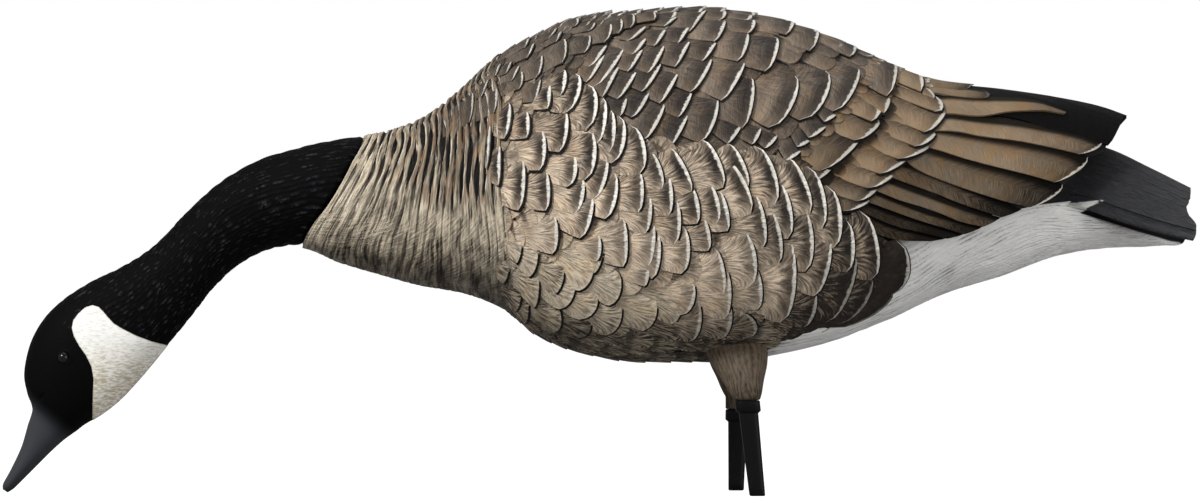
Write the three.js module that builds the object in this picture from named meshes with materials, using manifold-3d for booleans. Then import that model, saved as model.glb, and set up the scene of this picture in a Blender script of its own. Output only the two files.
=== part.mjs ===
// Full-body decoy of a feeding Canada goose, in millimetres, +Z up.
// The goose faces -X and its left side faces -Y. It stands on its two leg posts and the tip of its bill,
// at z = 0, and the origin is the middle of its footprint.
import * as THREE from 'three';
import Module from 'manifold-3d';
import { mergeVertices } from 'three/addons/utils/BufferGeometryUtils.js';

const wasm = await Module();
wasm.setup();

// Driving sizes
const overallLength = 833;      // tip of the bill to the end of the tail
const seamGap = 0.3;            // all round between two pieces that touch
const neckTenon = 14;           // how deep the neck sits in the mouth of the breast
const tenonStep = 3;            // how much smaller than the neck that part is, all round
const featherRise = 2.2;        // step at the end of a body feather
const wingRise = 4.0;           // how far the edge of the folded wing stands off the flank
const longFeatherRise = 2.4;    // step from one long wing feather to the next
const tailThickness = 6.0;      // tail fan, at its root
const tailEdge = 3.0;           // tail fan, at its end
const tailFeatherRise = 1.6;    // step from one tail feather to the next
const thighLength = 42;         // fore and aft, of the thigh tuft where it leaves the belly
const thighWidth = 40;          // across, at the same place
const legSpacing = 104;         // left post to right post, across the body
const collarLength = 17.5;      // fore and aft, of the collar at the top of a post
const collarWidth = 14;         // across
const collarHeight = 9;
const legLength = 13.5;         // fore and aft, under the collar
const legWidth = 10.5;          // across, under the collar
const footLength = 11;          // fore and aft, at the floor
const footWidth = 9.5;          // across, at the floor
const postSquareness = 4;       // exponent of a post's section: 2 is an oval, more is squarer
const spigotDepth = 8;          // how deep a post sits in its thigh
const eyeRadius = 5.2;          // radius of the glass bead
const eyeProud = 2.2;           // how far the bead stands out of the head

// The figure is drawn on a grid, so that it keeps its proportions
const gridLength = 997;         // grid units from the tip of the bill to the end of the tail
const unit = overallLength / gridLength;

// Curves through a few chosen points
function splineAt(xs, ys, x) {
  const last = xs.length - 1;
  if (x <= xs[0]) return ys[0];
  if (x >= xs[last]) return ys[last];
  let i = 0;
  while (x > xs[i + 1]) i += 1;
  const slope = (k) => (ys[k + 1] - ys[k]) / (xs[k + 1] - xs[k]);
  const tangent = (k) => {
    if (k === 0) return slope(0);
    if (k === last) return slope(last - 1);
    const before = slope(k - 1);
    const after = slope(k);
    return before * after <= 0 ? 0 : (2 * before * after) / (before + after);
  };
  const span = xs[i + 1] - xs[i];
  const t = (x - xs[i]) / span;
  const t2 = t * t;
  const t3 = t2 * t;
  return (2 * t3 - 3 * t2 + 1) * ys[i] + (t3 - 2 * t2 + t) * span * tangent(i)
    + (3 * t2 - 2 * t3) * ys[i + 1] + (t3 - t2) * span * tangent(i + 1);
}

// A curve of columns: [x, a, b, ...] rows, read at any x
function table(rows) {
  const xs = rows.map((row) => row[0]);
  return (column, x) => splineAt(xs, rows.map((row) => row[column]), x);
}

const smooth = (from, to, x) => {
  const t = Math.min(1, Math.max(0, (x - from) / (to - from)));
  return t * t * (3 - 2 * t);
};
const mix = (a, b, t) => a + (b - a) * t;

// Body stations, in grid units: x, top, bottom, half width, height of the widest level
const BODY = table([
  [-268, 285, 203, 43, 245],
  [-250, 292, 204.5, 45.5, 249],
  [-219, 297, 193, 50, 246],
  [-185, 302, 183, 58, 241],
  [-152, 313, 174, 73, 237],
  [-118, 338, 168, 92, 240],
  [-85, 368, 156, 110, 246],
  [-51, 387, 129, 122, 248],
  [-18, 400, 116, 130, 248],
  [33, 408, 108, 137, 248],
  [83, 411, 108, 139, 250],
  [133, 404, 113, 136, 252],
  [184, 389, 124, 128, 254],
  [234, 368, 142, 112, 254],
  [284, 343, 165, 92, 250],
  [334, 318, 181, 72, 244],
  [385, 294, 199, 52, 240],
  [427, 278, 205, 38, 236],
  [460, 262, 206, 26, 230],
  [484, 248, 207, 10, 220],
]);
const bodyFront = -268;
const bodyRear = 484;
const TOP = 1;
const BOTTOM = 2;
const HALF = 3;
const LEVEL = 4;
const fullness = 2.15;          // exponent of the cross-section: 2 is an ellipse, more is squarer

// A point of a cross-section at angle a, counted from the left side (-Y) up over the back.
function sectionPoint(stations, x, a) {
  const c = Math.cos(a);
  const s = Math.sin(a);
  const power = 2 / fullness;
  const level = stations(LEVEL, x);
  const reach = s >= 0 ? stations(TOP, x) - level : level - stations(BOTTOM, x);
  return new THREE.Vector3(
    x,
    -stations(HALF, x) * Math.sign(c) * Math.abs(c) ** power,
    level + reach * Math.sign(s) * Math.abs(s) ** power,
  );
}

// The same point, raised off the surface by rise grid units
function raisedPoint(stations, x, a, rise) {
  const step = 1.5;
  const turn = 0.02;
  const p = sectionPoint(stations, x, a);
  const along = sectionPoint(stations, x + step, a).sub(sectionPoint(stations, x - step, a));
  const round = sectionPoint(stations, x, a + turn).sub(sectionPoint(stations, x, a - turn));
  const normal = along.cross(round).normalize();
  return p.addScaledVector(normal, rise);
}

// Closed mesh from rings of equal count, with a fan on each end
function loftRings(rings) {
  const count = rings[0].length;
  const positions = [];
  for (const ring of rings) {
    for (const p of ring) positions.push(p.x, p.y, p.z);
  }
  const faces = [];
  for (let i = 0; i + 1 < rings.length; i += 1) {
    for (let j = 0; j < count; j += 1) {
      const a = i * count + j;
      const b = i * count + ((j + 1) % count);
      faces.push(a, b, a + count, b, b + count, a + count);
    }
  }
  const cap = (ringIndex, flip) => {
    const ring = rings[ringIndex];
    const centre = new THREE.Vector3();
    for (const p of ring) centre.addScaledVector(p, 1 / count);
    positions.push(centre.x, centre.y, centre.z);
    const middle = positions.length / 3 - 1;
    for (let j = 0; j < count; j += 1) {
      const a = ringIndex * count + j;
      const b = ringIndex * count + ((j + 1) % count);
      if (flip) faces.push(b, a, middle);
      else faces.push(a, b, middle);
    }
  };
  cap(0, true);
  cap(rings.length - 1, false);
  const geometry = new THREE.BufferGeometry();
  geometry.setAttribute('position', new THREE.Float32BufferAttribute(positions, 3));
  geometry.setIndex(faces);
  return geometry;
}

// A geometry as a solid, whichever way its faces point
function solidOf(geometry) {
  const bare = geometry.clone();
  bare.deleteAttribute('normal');
  bare.deleteAttribute('uv');
  const merged = mergeVertices(bare, 1e-3);
  const vertProperties = new Float32Array(merged.attributes.position.array);
  const triVerts = new Uint32Array(merged.index.array);
  const make = () => new wasm.Manifold(new wasm.Mesh({ numProp: 3, vertProperties, triVerts }));
  const made = make();
  if (made.volume() >= 0) return made;
  for (let i = 0; i < triVerts.length; i += 3) {
    [triVerts[i + 1], triVerts[i + 2]] = [triVerts[i + 2], triVerts[i + 1]];
  }
  return make();
}

function geometryOf(solid) {
  const mesh = solid.getMesh();
  const geometry = new THREE.BufferGeometry();
  geometry.setAttribute('position', new THREE.Float32BufferAttribute(mesh.vertProperties, 3));
  geometry.setIndex(Array.from(mesh.triVerts));
  return geometry;
}

function scaled(points) {
  return points.map((p) => p.clone().multiplyScalar(unit));
}

// Plumage of the body: rings in pairs, the raised end of one feather row and the root of the next
const featherRows = { first: -236, last: 244, shortest: 16, longest: 27, deepest: 12 };
const feathersAround = 10;      // scallops round a body ring
const aroundBody = 4 * feathersAround;
const underWing = 6;            // how far the body is let in under the folded wings
const tipShare = 0.65;          // share of a step that stands outside the mean surface
const stepLength = 1.4;         // run of the step under a feather's end

// Rounded ends of feathers side by side: 1 in the middle of a feather, near 0 between two
function scallop(place) {
  const across = 2 * (place - Math.floor(place)) - 1;
  return Math.sqrt(1 - across * across * 0.96);
}

function bodyRing(row, tip, depth, rise, offset) {
  const ring = [];
  for (let j = 0; j < aroundBody; j += 1) {
    const a = (j / aroundBody) * 2 * Math.PI;
    const x = tip + offset - depth * (1 - scallop((a / (2 * Math.PI)) * feathersAround + (row % 2) / 2));
    const bare = sectionPoint(BODY, x, a);
    const hidden = x > wingFront + underWing && bare.z > WING_EDGE(1, x) + underWing;
    ring.push(raisedPoint(BODY, x, a, hidden ? -underWing : rise));
  }
  return ring;
}

function bodyCore() {
  const rise = featherRise / unit;
  const rings = [bodyRing(0, bodyFront, 0, 0, 0)];
  let tip = featherRows.first;
  let row = 0;
  while (tip < featherRows.last) {
    const share = smooth(featherRows.first, -40, tip);
    const depth = mix(1.5, featherRows.deepest, share);
    const height = rise * mix(0.45, 1, share);
    rings.push(bodyRing(row, tip, depth, height * tipShare, 0));
    rings.push(bodyRing(row, tip, depth, height * (tipShare - 1), stepLength));
    tip += mix(featherRows.shortest, featherRows.longest, share);
    row += 1;
  }
  const smoothRings = 6;
  const start = featherRows.last + featherRows.longest;
  for (let i = 0; i <= smoothRings; i += 1) {
    rings.push(bodyRing(0, mix(start, bodyRear, i / smoothRings), 0, 0, 0));
  }
  return solidOf(loftRings(rings.map(scaled)));
}

// Folded wings and back: one cape over the body. Its stations are the body's, but fuller behind.
const WING = table([
  [-60, 380, 126, 120, 248],
  [-18, 397, 116, 130, 248],
  [33, 406, 108, 137, 248],
  [83, 408.5, 108, 139, 250],
  [133, 402, 113, 136, 252],
  [184, 386.5, 124, 128, 252],
  [234, 364, 138, 114, 240],
  [284, 345, 150, 98, 224],
  [334, 339.5, 160, 84, 222],
  [385, 332, 165, 68, 220],
  [420, 324.5, 165, 56, 218],
  [440, 317.5, 165, 48, 216],
]);
// Lower edge of the folded wing, seen from the side: x, height
const WING_EDGE = table([
  [-52, 372],
  [-18, 340],
  [16, 312],
  [45, 297],
  [90, 295],
  [133, 287],
  [176, 262],
  [208, 236],
  [240, 219],
  [285, 212],
  [330, 212],
  [385, 214],
  [440, 216],
]);
const wingFront = -52;
// Where the long feathers end, from the middle of the back (0) to the wing's lower edge (1): share, x
const WING_END = table([
  [0, 392],
  [0.1, 434],
  [0.2, 440],
  [0.36, 436],
  [0.5, 430],
  [0.57, 426],
  [0.63, 409],
  [0.7, 402],
  [0.78, 386],
  [0.85, 376],
  [0.9, 361],
  [0.94, 336],
  [1, 296],
]);
const wingAcross = 20;          // steps from the middle of the back to the wing's edge
const longFeathers = 10;
const coverRows = 8;            // scalloped rows before the long feathers

// Angle at which the cape's cross-section passes height z on its left side
function angleAt(stations, x, z) {
  const level = stations(LEVEL, x);
  const reach = z >= level ? stations(TOP, x) - level : level - stations(BOTTOM, x);
  const share = Math.min(1, Math.abs(z - level) / reach);
  const s = share ** (fullness / 2);
  return Math.asin(s) * (z >= level ? 1 : -1);
}

function wingPoint(x, w, rise) {
  const low = angleAt(WING, x, WING_EDGE(1, x));
  const a = mix(Math.PI / 2, low, w);
  return raisedPoint(WING, x, a, rise);
}

function capeRing(alongAt, riseAt) {
  const left = [];
  for (let j = 0; j <= wingAcross; j += 1) {
    const w = j / wingAcross;
    left.push(wingPoint(alongAt(w), w, riseAt(w)));
  }
  const right = left.slice(1).map((p) => new THREE.Vector3(p.x, -p.y, p.z));
  return [...left.reverse(), ...right];
}

function wingCape() {
  const rings = [];
  const lift = (w) => (wingRise / unit) * smooth(0.1, 0.9, w);
  const feathersAcross = 5;
  const coverEnd = 0.62;        // share of the wing that the covering feathers take
  const alongShare = (s, w) => mix(wingFront, WING_END(1, w), s);
  const letIn = 4;              // how far the front edge of the cape is let in, along and down
  rings.push(capeRing(() => wingFront - letIn, () => -letIn));
  for (let row = 0; row < coverRows; row += 1) {
    const share = ((row + 1) / coverRows) * coverEnd;
    const depth = mix(4, 12, (row + 1) / coverRows);
    const tip = (w) => alongShare(share, w) - depth * (1 - scallop(w * feathersAcross + (row % 2) / 2));
    rings.push(capeRing(tip, (w) => lift(w) + featherRise / unit));
    rings.push(capeRing((w) => tip(w) + stepLength, lift));
  }
  const longRings = 4;
  const ridge = (w) => (1 - ((w * longFeathers) % 1)) * (longFeatherRise / unit);
  for (let i = 1; i <= longRings; i += 1) {
    const share = mix(coverEnd, 1, i / longRings);
    const thin = i === longRings ? 0.4 : 1;
    rings.push(capeRing((w) => alongShare(share, w), (w) => (lift(w) + ridge(w)) * thin));
  }
  return solidOf(loftRings(rings.map(scaled)));
}

// Tail fan: an arched plate of lapping feathers
const TAIL = table([
  // x, ridge height, half width, droop of the side edge
  [372, 299, 44, 57],
  [400, 295, 50, 57],
  [427, 287.5, 56, 59],
  [460, 272, 65, 54],
  [495, 254.5, 73, 45],
]);
const tailFeathers = 10;
const tailFront = 372;
const tailEnd = 495;
const tailSteps = 3;

function tailFan() {
  const perFeather = 3;
  const count = tailFeathers * perFeather;
  const roundEnd = 6;           // how far the corners of a feather's end stand back
  const fork = 3;               // how far the outermost feathers stand back
  const pointAt = (s, j, isUpper) => {
    const side = (2 * j) / count - 1;
    const place = j / perFeather;
    const end = tailEnd - roundEnd * (1 - scallop(place)) - fork * Math.abs(side);
    const x = mix(tailFront, end, s);
    const lap = side > 0 ? 1 - (place % 1) : place % 1;
    const droop = TAIL(3, x) * Math.abs(side) ** 1.7;
    const rise = isUpper ? lap * tailFeatherRise : -mix(tailThickness, tailEdge, s);
    return new THREE.Vector3(x, TAIL(2, x) * side, TAIL(1, x) - droop + rise / unit);
  };
  const rings = [];
  for (let i = 0; i <= tailSteps; i += 1) {
    const ring = [];
    for (let j = 0; j <= count; j += 1) ring.push(pointAt(i / tailSteps, j, true));
    for (let j = count; j >= 0; j -= 1) ring.push(pointAt(i / tailSteps, j, false));
    rings.push(ring);
  }
  return solidOf(loftRings(rings.map(scaled)));
}

// A post or tuft: rounded sections stacked along a leaning line
function stackedSections(levels) {
  const rings = levels.map(({ x, y, z, length, width, power }) => {
    const ring = [];
    for (let j = 0; j < legSides; j += 1) {
      const a = (j / legSides) * 2 * Math.PI;
      const c = Math.cos(a);
      const s = Math.sin(a);
      ring.push(new THREE.Vector3(
        x + (length / 2) * Math.sign(c) * Math.abs(c) ** (2 / power),
        y + (width / 2) * Math.sign(s) * Math.abs(s) ** (2 / power),
        z,
      ));
    }
    return ring;
  });
  return solidOf(loftRings(rings));
}

// Where each post stands on the floor, where it meets its thigh, and how high that is. The right leg is
// a little ahead, and its thigh reaches lower.
const legs = {
  left: { side: -1, footX: 129.5 * unit, topX: 121 * unit, thighZ: 79.5 * unit },
  right: { side: 1, footX: 114.5 * unit, topX: 116 * unit, thighZ: 69 * unit },
};
const flareZ = legs.left.thighZ; // height at which a tuft begins to flare
const bellyX = 114.5 * unit;    // middle of both tufts where they leave the belly
const bellyZ = 111 * unit;      // height at which they do
const legSides = 12;

// A feathered tuft: flush with the collar at its lower end, flaring up into the belly
function thigh(leg) {
  const rows = [
    // share of the way from the flare to the belly, share of the growth
    [0.08, 0.1],
    [0.26, 0.27],
    [0.5, 0.47],
    [0.75, 0.75],
    [1, 1],
    [1.3, 1.4],
    [2, 1.6],
  ];
  const lean = 8;               // how far the tuft stands in towards the middle at the belly
  const end = {
    x: leg.topX,
    y: leg.side * (legSpacing / 2),
    z: leg.thighZ,
    length: collarLength,
    width: collarWidth,
    power: postSquareness,
  };
  const flare = rows.map(([up, out]) => ({
    x: mix(leg.topX, bellyX, up),
    y: leg.side * (legSpacing / 2 - lean * up * up),
    z: mix(flareZ, bellyZ, up),
    length: mix(collarLength, thighLength, out),
    width: mix(collarWidth, thighWidth, out),
    power: mix(postSquareness, 2.2, Math.min(1, up * 2)),
  }));
  return stackedSections([end, ...flare]);
}

// A leg post with its collar, and the spigot that sits in the thigh. Its socket is the same, grown by gap.
function post(leg, gap) {
  const at = (z, length, width) => ({
    x: mix(leg.footX, leg.topX, z / leg.thighZ),
    y: leg.side * (legSpacing / 2),
    z,
    length: length + 2 * gap,
    width: width + 2 * gap,
    power: postSquareness,
  });
  const shoulder = leg.thighZ - seamGap + gap;
  const underCollar = shoulder - collarHeight;
  const chamfer = (collarLength - legLength) / 2;
  return stackedSections([
    at(0, footLength, footWidth),
    at(underCollar, legLength, legWidth),
    at(underCollar + chamfer, collarLength, collarWidth),
    at(shoulder, collarLength, collarWidth),
    at(shoulder, legLength, legWidth),
    at(leg.thighZ + spigotDepth + gap, legLength, legWidth),
  ]);
}

// Head and neck: pairs of outline points, crown side and throat side, with the half width between them
const NECK = [
  // crown x, z, throat x, z, half width
  [-172, 303.5, -205, 197, 45],
  [-214, 297.5, -246, 207, 42],
  [-252, 289.8, -270, 205.8, 37],
  [-286, 279.8, -288, 200, 31.5],
  [-318, 261.5, -308, 187.5, 28],
  [-344.5, 238.5, -326, 170, 26],
  [-365.5, 216, -343, 148, 24.5],
  [-384, 200.5, -361, 126, 25.5],
  [-405, 188, -378, 105, 27.5],
  [-426.5, 178, -391, 90, 29.5],
  [-448.5, 164, -401.5, 79, 30.5],
  [-466, 147.5, -411.5, 70.5, 30.5],
  [-478, 126.5, -421.5, 63.5, 29],
  [-483.5, 101.5, -432.5, 57, 26],
  [-481, 84, -442, 49.5, 22],
  [-477, 71.5, -450, 43.5, 18],
  [-481, 57, -460, 34.5, 15.5],
  [-486.5, 38.5, -472, 22.5, 14.5],
  [-495.5, 19.5, -484.5, 10, 13.5],
  [-501.5, 8.5, -491.5, 3.2, 10.5],
  [-502, 3.5, -496.5, 0, 6],
];

const neckSides = 18;
const neckFullness = 2.1;       // exponent of its cross-section
const stepsPerStation = 2;

// One column of NECK as a smooth function of the station number
function neckColumn(k) {
  const points = NECK.map((row, i) => new THREE.Vector2(i, row[k]));
  const curve = new THREE.SplineCurve(points);
  return (t) => curve.getPoint(t / (NECK.length - 1)).y;
}

// The whole neck and head, grown by grow millimetres all round
function neckSolid(grow) {
  const [crownX, crownZ, throatX, throatZ, halfWidth] = [0, 1, 2, 3, 4].map(neckColumn);
  const power = 2 / neckFullness;
  const rings = [];
  for (let i = 0; i <= (NECK.length - 1) * stepsPerStation; i += 1) {
    const t = i / stepsPerStation;
    const crown = new THREE.Vector3(crownX(t), 0, crownZ(t));
    const throat = new THREE.Vector3(throatX(t), 0, throatZ(t));
    const centre = crown.clone().add(throat).multiplyScalar(0.5);
    const reach = crown.clone().sub(throat).multiplyScalar(0.5);
    const stretch = 1 + grow / unit / reach.length();
    const ring = [];
    for (let j = 0; j < neckSides; j += 1) {
      const a = (j / neckSides) * 2 * Math.PI;
      const c = Math.cos(a);
      const s = Math.sin(a);
      const p = centre.clone().addScaledVector(reach, Math.sign(s) * Math.abs(s) ** power * stretch);
      p.y = -(halfWidth(t) + grow / unit) * Math.sign(c) * Math.abs(c) ** power;
      ring.push(p);
    }
    rings.push(ring);
  }
  return solidOf(loftRings(rings.map(scaled)));
}

// Seam between neck and breast, seen from the side: x, height. It is swept across the body.
const SEAM = [
  [-192, 345],
  [-198, 300],
  [-209, 272],
  [-226, 242],
  [-240, 224],
  [-247, 212],
  [-250, 204],
  [-258, 150],
];

// Everything in front of the seam line, moved back by shift millimetres
function inFrontOfSeam(shift) {
  const outline = new THREE.Shape();
  const points = SEAM.map(([x, z]) => new THREE.Vector2(x * unit + shift, z * unit));
  const seam = new THREE.SplineCurve(points).getPoints(24);
  const far = -overallLength;
  const high = overallLength;
  outline.moveTo(far, -high);
  outline.lineTo(far, high);
  outline.lineTo(seam[0].x, high);
  for (const p of seam) outline.lineTo(p.x, p.y);
  outline.lineTo(seam[seam.length - 1].x, -high);
  const width = overallLength;
  const slab = new THREE.ExtrudeGeometry(outline, { depth: width, bevelEnabled: false });
  slab.translate(0, 0, -width / 2);
  slab.rotateX(Math.PI / 2);
  return solidOf(slab);
}

// Eyes: beads let into the sides of the head
const eyeX = -448 * unit;
const eyeZ = 114 * unit;

function bead(side, grow, surfaceY) {
  const ball = new THREE.SphereGeometry(eyeRadius + grow, 11, 7);
  ball.rotateX(Math.PI / 2);
  ball.translate(eyeX, side * (surfaceY - eyeRadius + eyeProud), eyeZ);
  return solidOf(ball);
}

// Assembly
const group = new THREE.Group();

function addPiece(name, solid, color, roughness) {
  const mesh = new THREE.Mesh(
    geometryOf(solid.translate([-middleX, 0, 0])),
    new THREE.MeshStandardMaterial({ color, roughness, metalness: 0 }),
  );
  mesh.name = name;
  group.add(mesh);
}

const wholeNeck = neckSolid(0);
const headBox = wholeNeck.intersect(solidOf(new THREE.BoxGeometry(6, 400, 6).translate(eyeX, 0, eyeZ)));
const headSurfaceY = headBox.boundingBox().max[1];

let head = wholeNeck.intersect(inFrontOfSeam(-seamGap));
const tenon = neckSolid(-tenonStep).intersect(inFrontOfSeam(neckTenon));
head = head.add(tenon.subtract(inFrontOfSeam(-neckTenon)));
for (const leg of Object.values(legs)) head = head.subtract(bead(leg.side, seamGap, headSurfaceY));

let body = bodyCore().add(wingCape()).add(tailFan());
for (const leg of Object.values(legs)) body = body.add(thigh(leg));
body = body.subtract(inFrontOfSeam(0));
body = body.subtract(neckSolid(seamGap - tenonStep).intersect(inFrontOfSeam(neckTenon + seamGap)));
for (const leg of Object.values(legs)) body = body.subtract(post(leg, seamGap));

// The middle of the footprint goes to the origin
const middleX = (head.boundingBox().min[0] + body.boundingBox().max[0]) / 2;

addPiece('body', body, 0x8d7b68, 0.75);
addPiece('head_neck', head, 0x141416, 0.95);
for (const [name, leg] of Object.entries(legs)) {
  addPiece(`eye_${name}`, bead(leg.side, 0, headSurfaceY), 0x0c0a09, 0.1);
  addPiece(`leg_${name}`, post(leg, 0), 0x0e0e10, 0.5);
}

export default group;
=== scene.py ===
"""Looks of the feeding goose decoy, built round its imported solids.

Every length is in metres unless a name says otherwise. The goose faces -X and its left side faces -Y.
Feathers and markings are placed by where they show in the side view, given in pixels of a picture that
is 1200 wide and 499 high.
"""
import logging
import math
from dataclasses import dataclass, field, replace
from enum import Enum
from functools import partialmethod

import bpy
import numpy as np
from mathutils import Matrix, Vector


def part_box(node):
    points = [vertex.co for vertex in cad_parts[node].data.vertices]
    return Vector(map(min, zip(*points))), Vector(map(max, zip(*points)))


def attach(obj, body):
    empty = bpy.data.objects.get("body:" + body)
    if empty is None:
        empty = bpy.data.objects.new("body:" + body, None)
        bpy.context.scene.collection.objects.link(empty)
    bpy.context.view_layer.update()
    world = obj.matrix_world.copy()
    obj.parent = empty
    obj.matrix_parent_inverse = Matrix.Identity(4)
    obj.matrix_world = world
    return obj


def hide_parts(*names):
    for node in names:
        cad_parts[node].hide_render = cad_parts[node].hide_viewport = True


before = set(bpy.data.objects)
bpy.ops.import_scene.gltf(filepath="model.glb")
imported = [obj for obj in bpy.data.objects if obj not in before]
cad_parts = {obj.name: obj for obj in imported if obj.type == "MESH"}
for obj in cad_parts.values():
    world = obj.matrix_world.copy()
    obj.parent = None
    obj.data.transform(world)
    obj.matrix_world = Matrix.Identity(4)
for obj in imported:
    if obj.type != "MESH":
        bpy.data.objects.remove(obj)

Array, Material, Piece = np.ndarray, bpy.types.Material, bpy.types.Object
Node, Socket, Tree = bpy.types.Node, bpy.types.NodeSocket, bpy.types.NodeTree
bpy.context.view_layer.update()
log = logging.getLogger("goose")

MM = 0.001
UNIT = 0.833 / 997              # one step of the grid that the figure is drawn on
EYE_X = -448.0                  # grid place of the eyes, which ties the grid to the frame
SHIFT = sum(c[0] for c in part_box("eye_left")) / 2 - EYE_X * UNIT

BODY_ROWS = (
    # x, top, bottom, half width, height of the widest level, in grid units
    (-268, 285, 203, 43, 245), (-250, 292, 204.5, 45.5, 249), (-219, 297, 193, 50, 246),
    (-185, 302, 183, 58, 241), (-152, 313, 174, 73, 237), (-118, 338, 168, 92, 240),
    (-85, 368, 156, 110, 246), (-51, 387, 129, 122, 248), (-18, 400, 116, 130, 248),
    (33, 408, 108, 137, 248), (83, 411, 108, 139, 250), (133, 404, 113, 136, 252),
    (184, 389, 124, 128, 254), (234, 368, 142, 112, 254), (284, 343, 165, 92, 250),
    (334, 318, 181, 72, 244), (385, 294, 199, 52, 240), (427, 278, 205, 38, 236),
    (460, 262, 206, 26, 230), (484, 248, 207, 10, 220),
)
WING_ROWS = (
    (-60, 380, 126, 120, 248), (-18, 397, 116, 130, 248), (33, 406, 108, 137, 248),
    (83, 408.5, 108, 139, 250), (133, 402, 113, 136, 252), (184, 386.5, 124, 128, 252),
    (234, 364, 138, 114, 240), (284, 345, 150, 98, 224), (334, 339.5, 160, 84, 222),
    (385, 332, 165, 68, 220), (420, 324.5, 165, 56, 218), (440, 317.5, 165, 48, 216),
)
# Lower edge of the folded wing in the side view: x, height, in grid units
WING_EDGE = (
    (-52, 372), (-18, 340), (16, 312), (45, 297), (90, 295), (133, 287), (176, 262),
    (208, 236), (240, 219), (285, 212), (330, 212), (385, 214), (440, 216),
)
# Where the wing ends, from the middle of the back (0) to its lower edge (1): share, x in grid units
WING_END = (
    (0, 392), (0.1, 434), (0.2, 440), (0.36, 436), (0.5, 430), (0.57, 426), (0.63, 409), (0.7, 402),
    (0.78, 386), (0.83, 374), (0.85, 358), (0.865, 342), (0.88, 326), (0.92, 310), (0.96, 298), (1, 278),
)
# Tail fan: x, ridge height, half width, droop of the side edge, in grid units
TAIL_ROWS = (
    (372, 299, 44, 57), (400, 295, 50, 57), (427, 287.5, 56, 59), (460, 272, 65, 54),
    (495, 254.5, 73, 45),
)
# Head and neck: crown x, z, throat x, z and the half width between them, in grid units
NECK_ROWS = (
    (-172, 303.5, -205, 197, 45), (-214, 297.5, -246, 207, 42), (-252, 289.8, -270, 205.8, 37),
    (-286, 279.8, -288, 200, 31.5), (-318, 261.5, -308, 187.5, 28), (-344.5, 238.5, -326, 170, 26),
    (-365.5, 216, -343, 148, 24.5), (-384, 200.5, -361, 126, 25.5), (-405, 188, -378, 105, 27.5),
    (-426.5, 178, -391, 90, 29.5), (-448.5, 164, -401.5, 79, 30.5), (-466, 147.5, -411.5, 70.5, 30.5),
    (-478, 126.5, -421.5, 63.5, 29), (-483.5, 101.5, -432.5, 57, 26), (-481, 84, -442, 49.5, 22),
    (-477, 71.5, -450, 43.5, 18), (-481, 57, -460, 34.5, 15.5), (-486.5, 38.5, -472, 22.5, 14.5),
    (-495.5, 19.5, -484.5, 10, 13.5), (-501.5, 8.5, -491.5, 3.2, 10.5), (-502, 3.5, -496.5, 0, 6),
)
# Seam between neck and breast in the side view: height, x, in grid units
SEAM = ((150, -258), (204, -250), (212, -247), (224, -240), (242, -226), (272, -209), (300, -198),
        (345, -192))


# Curves and small sums

def curve_at(xs: Array, ys: Array, x: Array) -> Array:
    """A smooth curve through points, read at x. It doesn't overshoot.

    Between two points it is the cubic that has their heights and slopes. A point's slope is the harmonic
    mean of the two chords that meet there, or nought where they rise and fall.

    Args:
        xs: the points' places, rising.
        ys: their heights.
        x: where the curve is read. Outside the points it keeps the end's height.

    Returns:
        The heights at x.
    """
    xs, ys = np.asarray(xs, float), np.asarray(ys, float)
    x = np.clip(x, xs[0], xs[-1])
    i = np.clip(np.searchsorted(xs, x, side="right") - 1, 0, len(xs) - 2)
    slope = np.diff(ys) / np.diff(xs)
    before, after = slope[:-1], slope[1:]
    agree = before * after > 0
    mean = np.where(agree, 2 * before * after / np.where(agree, before + after, 1), 0)
    tangent = np.concatenate([slope[:1], mean, slope[-1:]])
    span = xs[i + 1] - xs[i]
    t = (x - xs[i]) / span
    return ((2 * t**3 - 3 * t**2 + 1) * ys[i] + (t**3 - 2 * t**2 + t) * span * tangent[i]
            + (3 * t**2 - 2 * t**3) * ys[i + 1] + (t**3 - t**2) * span * tangent[i + 1])


def grid_x(place: Array) -> Array:
    """x in metres of a place on the grid."""
    return place * UNIT + SHIFT


def table_at(rows: tuple, column: int, x: Array) -> Array:
    """Column of a table of grid figures, read at x in metres and given in metres."""
    data = np.array(rows, float)
    return curve_at(grid_x(data[:, 0]), data[:, column] * UNIT, x)


def seam_at(z: Array) -> Array:
    """x of the seam between neck and breast, at a height."""
    height, x = np.array(SEAM, float).T
    return curve_at(height * UNIT, grid_x(x), z)


def smooth(low: float, high: float, x: Array) -> Array:
    """Rises from 0 at low to 1 at high, with no corner at either end."""
    t = np.clip((x - low) / (high - low), 0, 1)
    return t * t * (3 - 2 * t)


def mix(a: Array, b: Array, t: Array) -> Array:
    """The value that lies the share t of the way from a to b."""
    return a + (b - a) * t


def unit_vectors(v: Array) -> Array:
    """The same directions, all one long."""
    return v / np.maximum(np.linalg.norm(v, axis=-1, keepdims=True), 1e-12)


def side_by_side(*parts: Array) -> Array:
    """Numbers and arrays brought to one shape and laid side by side, as the three of a point are."""
    return np.stack(np.broadcast_arrays(*parts), axis=-1)


def round_angles(count: int) -> Array:
    """Evenly spaced angles round a circle."""
    return np.arange(count) / count * 2 * math.pi


def interp_points(at: Array, s: Array, points: Array) -> Array:
    """Points read between others, which lie at the lengths s."""
    return np.stack([np.interp(at, s, points[:, k]) for k in range(3)], -1)


def running_length(points: Array) -> Array:
    """Length of a line of points from its start to each of them."""
    steps = np.linalg.norm(np.diff(points, axis=0), axis=1)
    return np.concatenate([[0], np.cumsum(steps)])


def hashed(*keys: Array) -> Array:
    """A number from 0 to 1 that looks random, the same each time for the same whole-number keys."""
    total = sum(k * w for k, w in zip(keys, (12.9898, 78.233, 37.719)))
    return np.mod(np.sin(total) * 43758.5453, 1.0)


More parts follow.
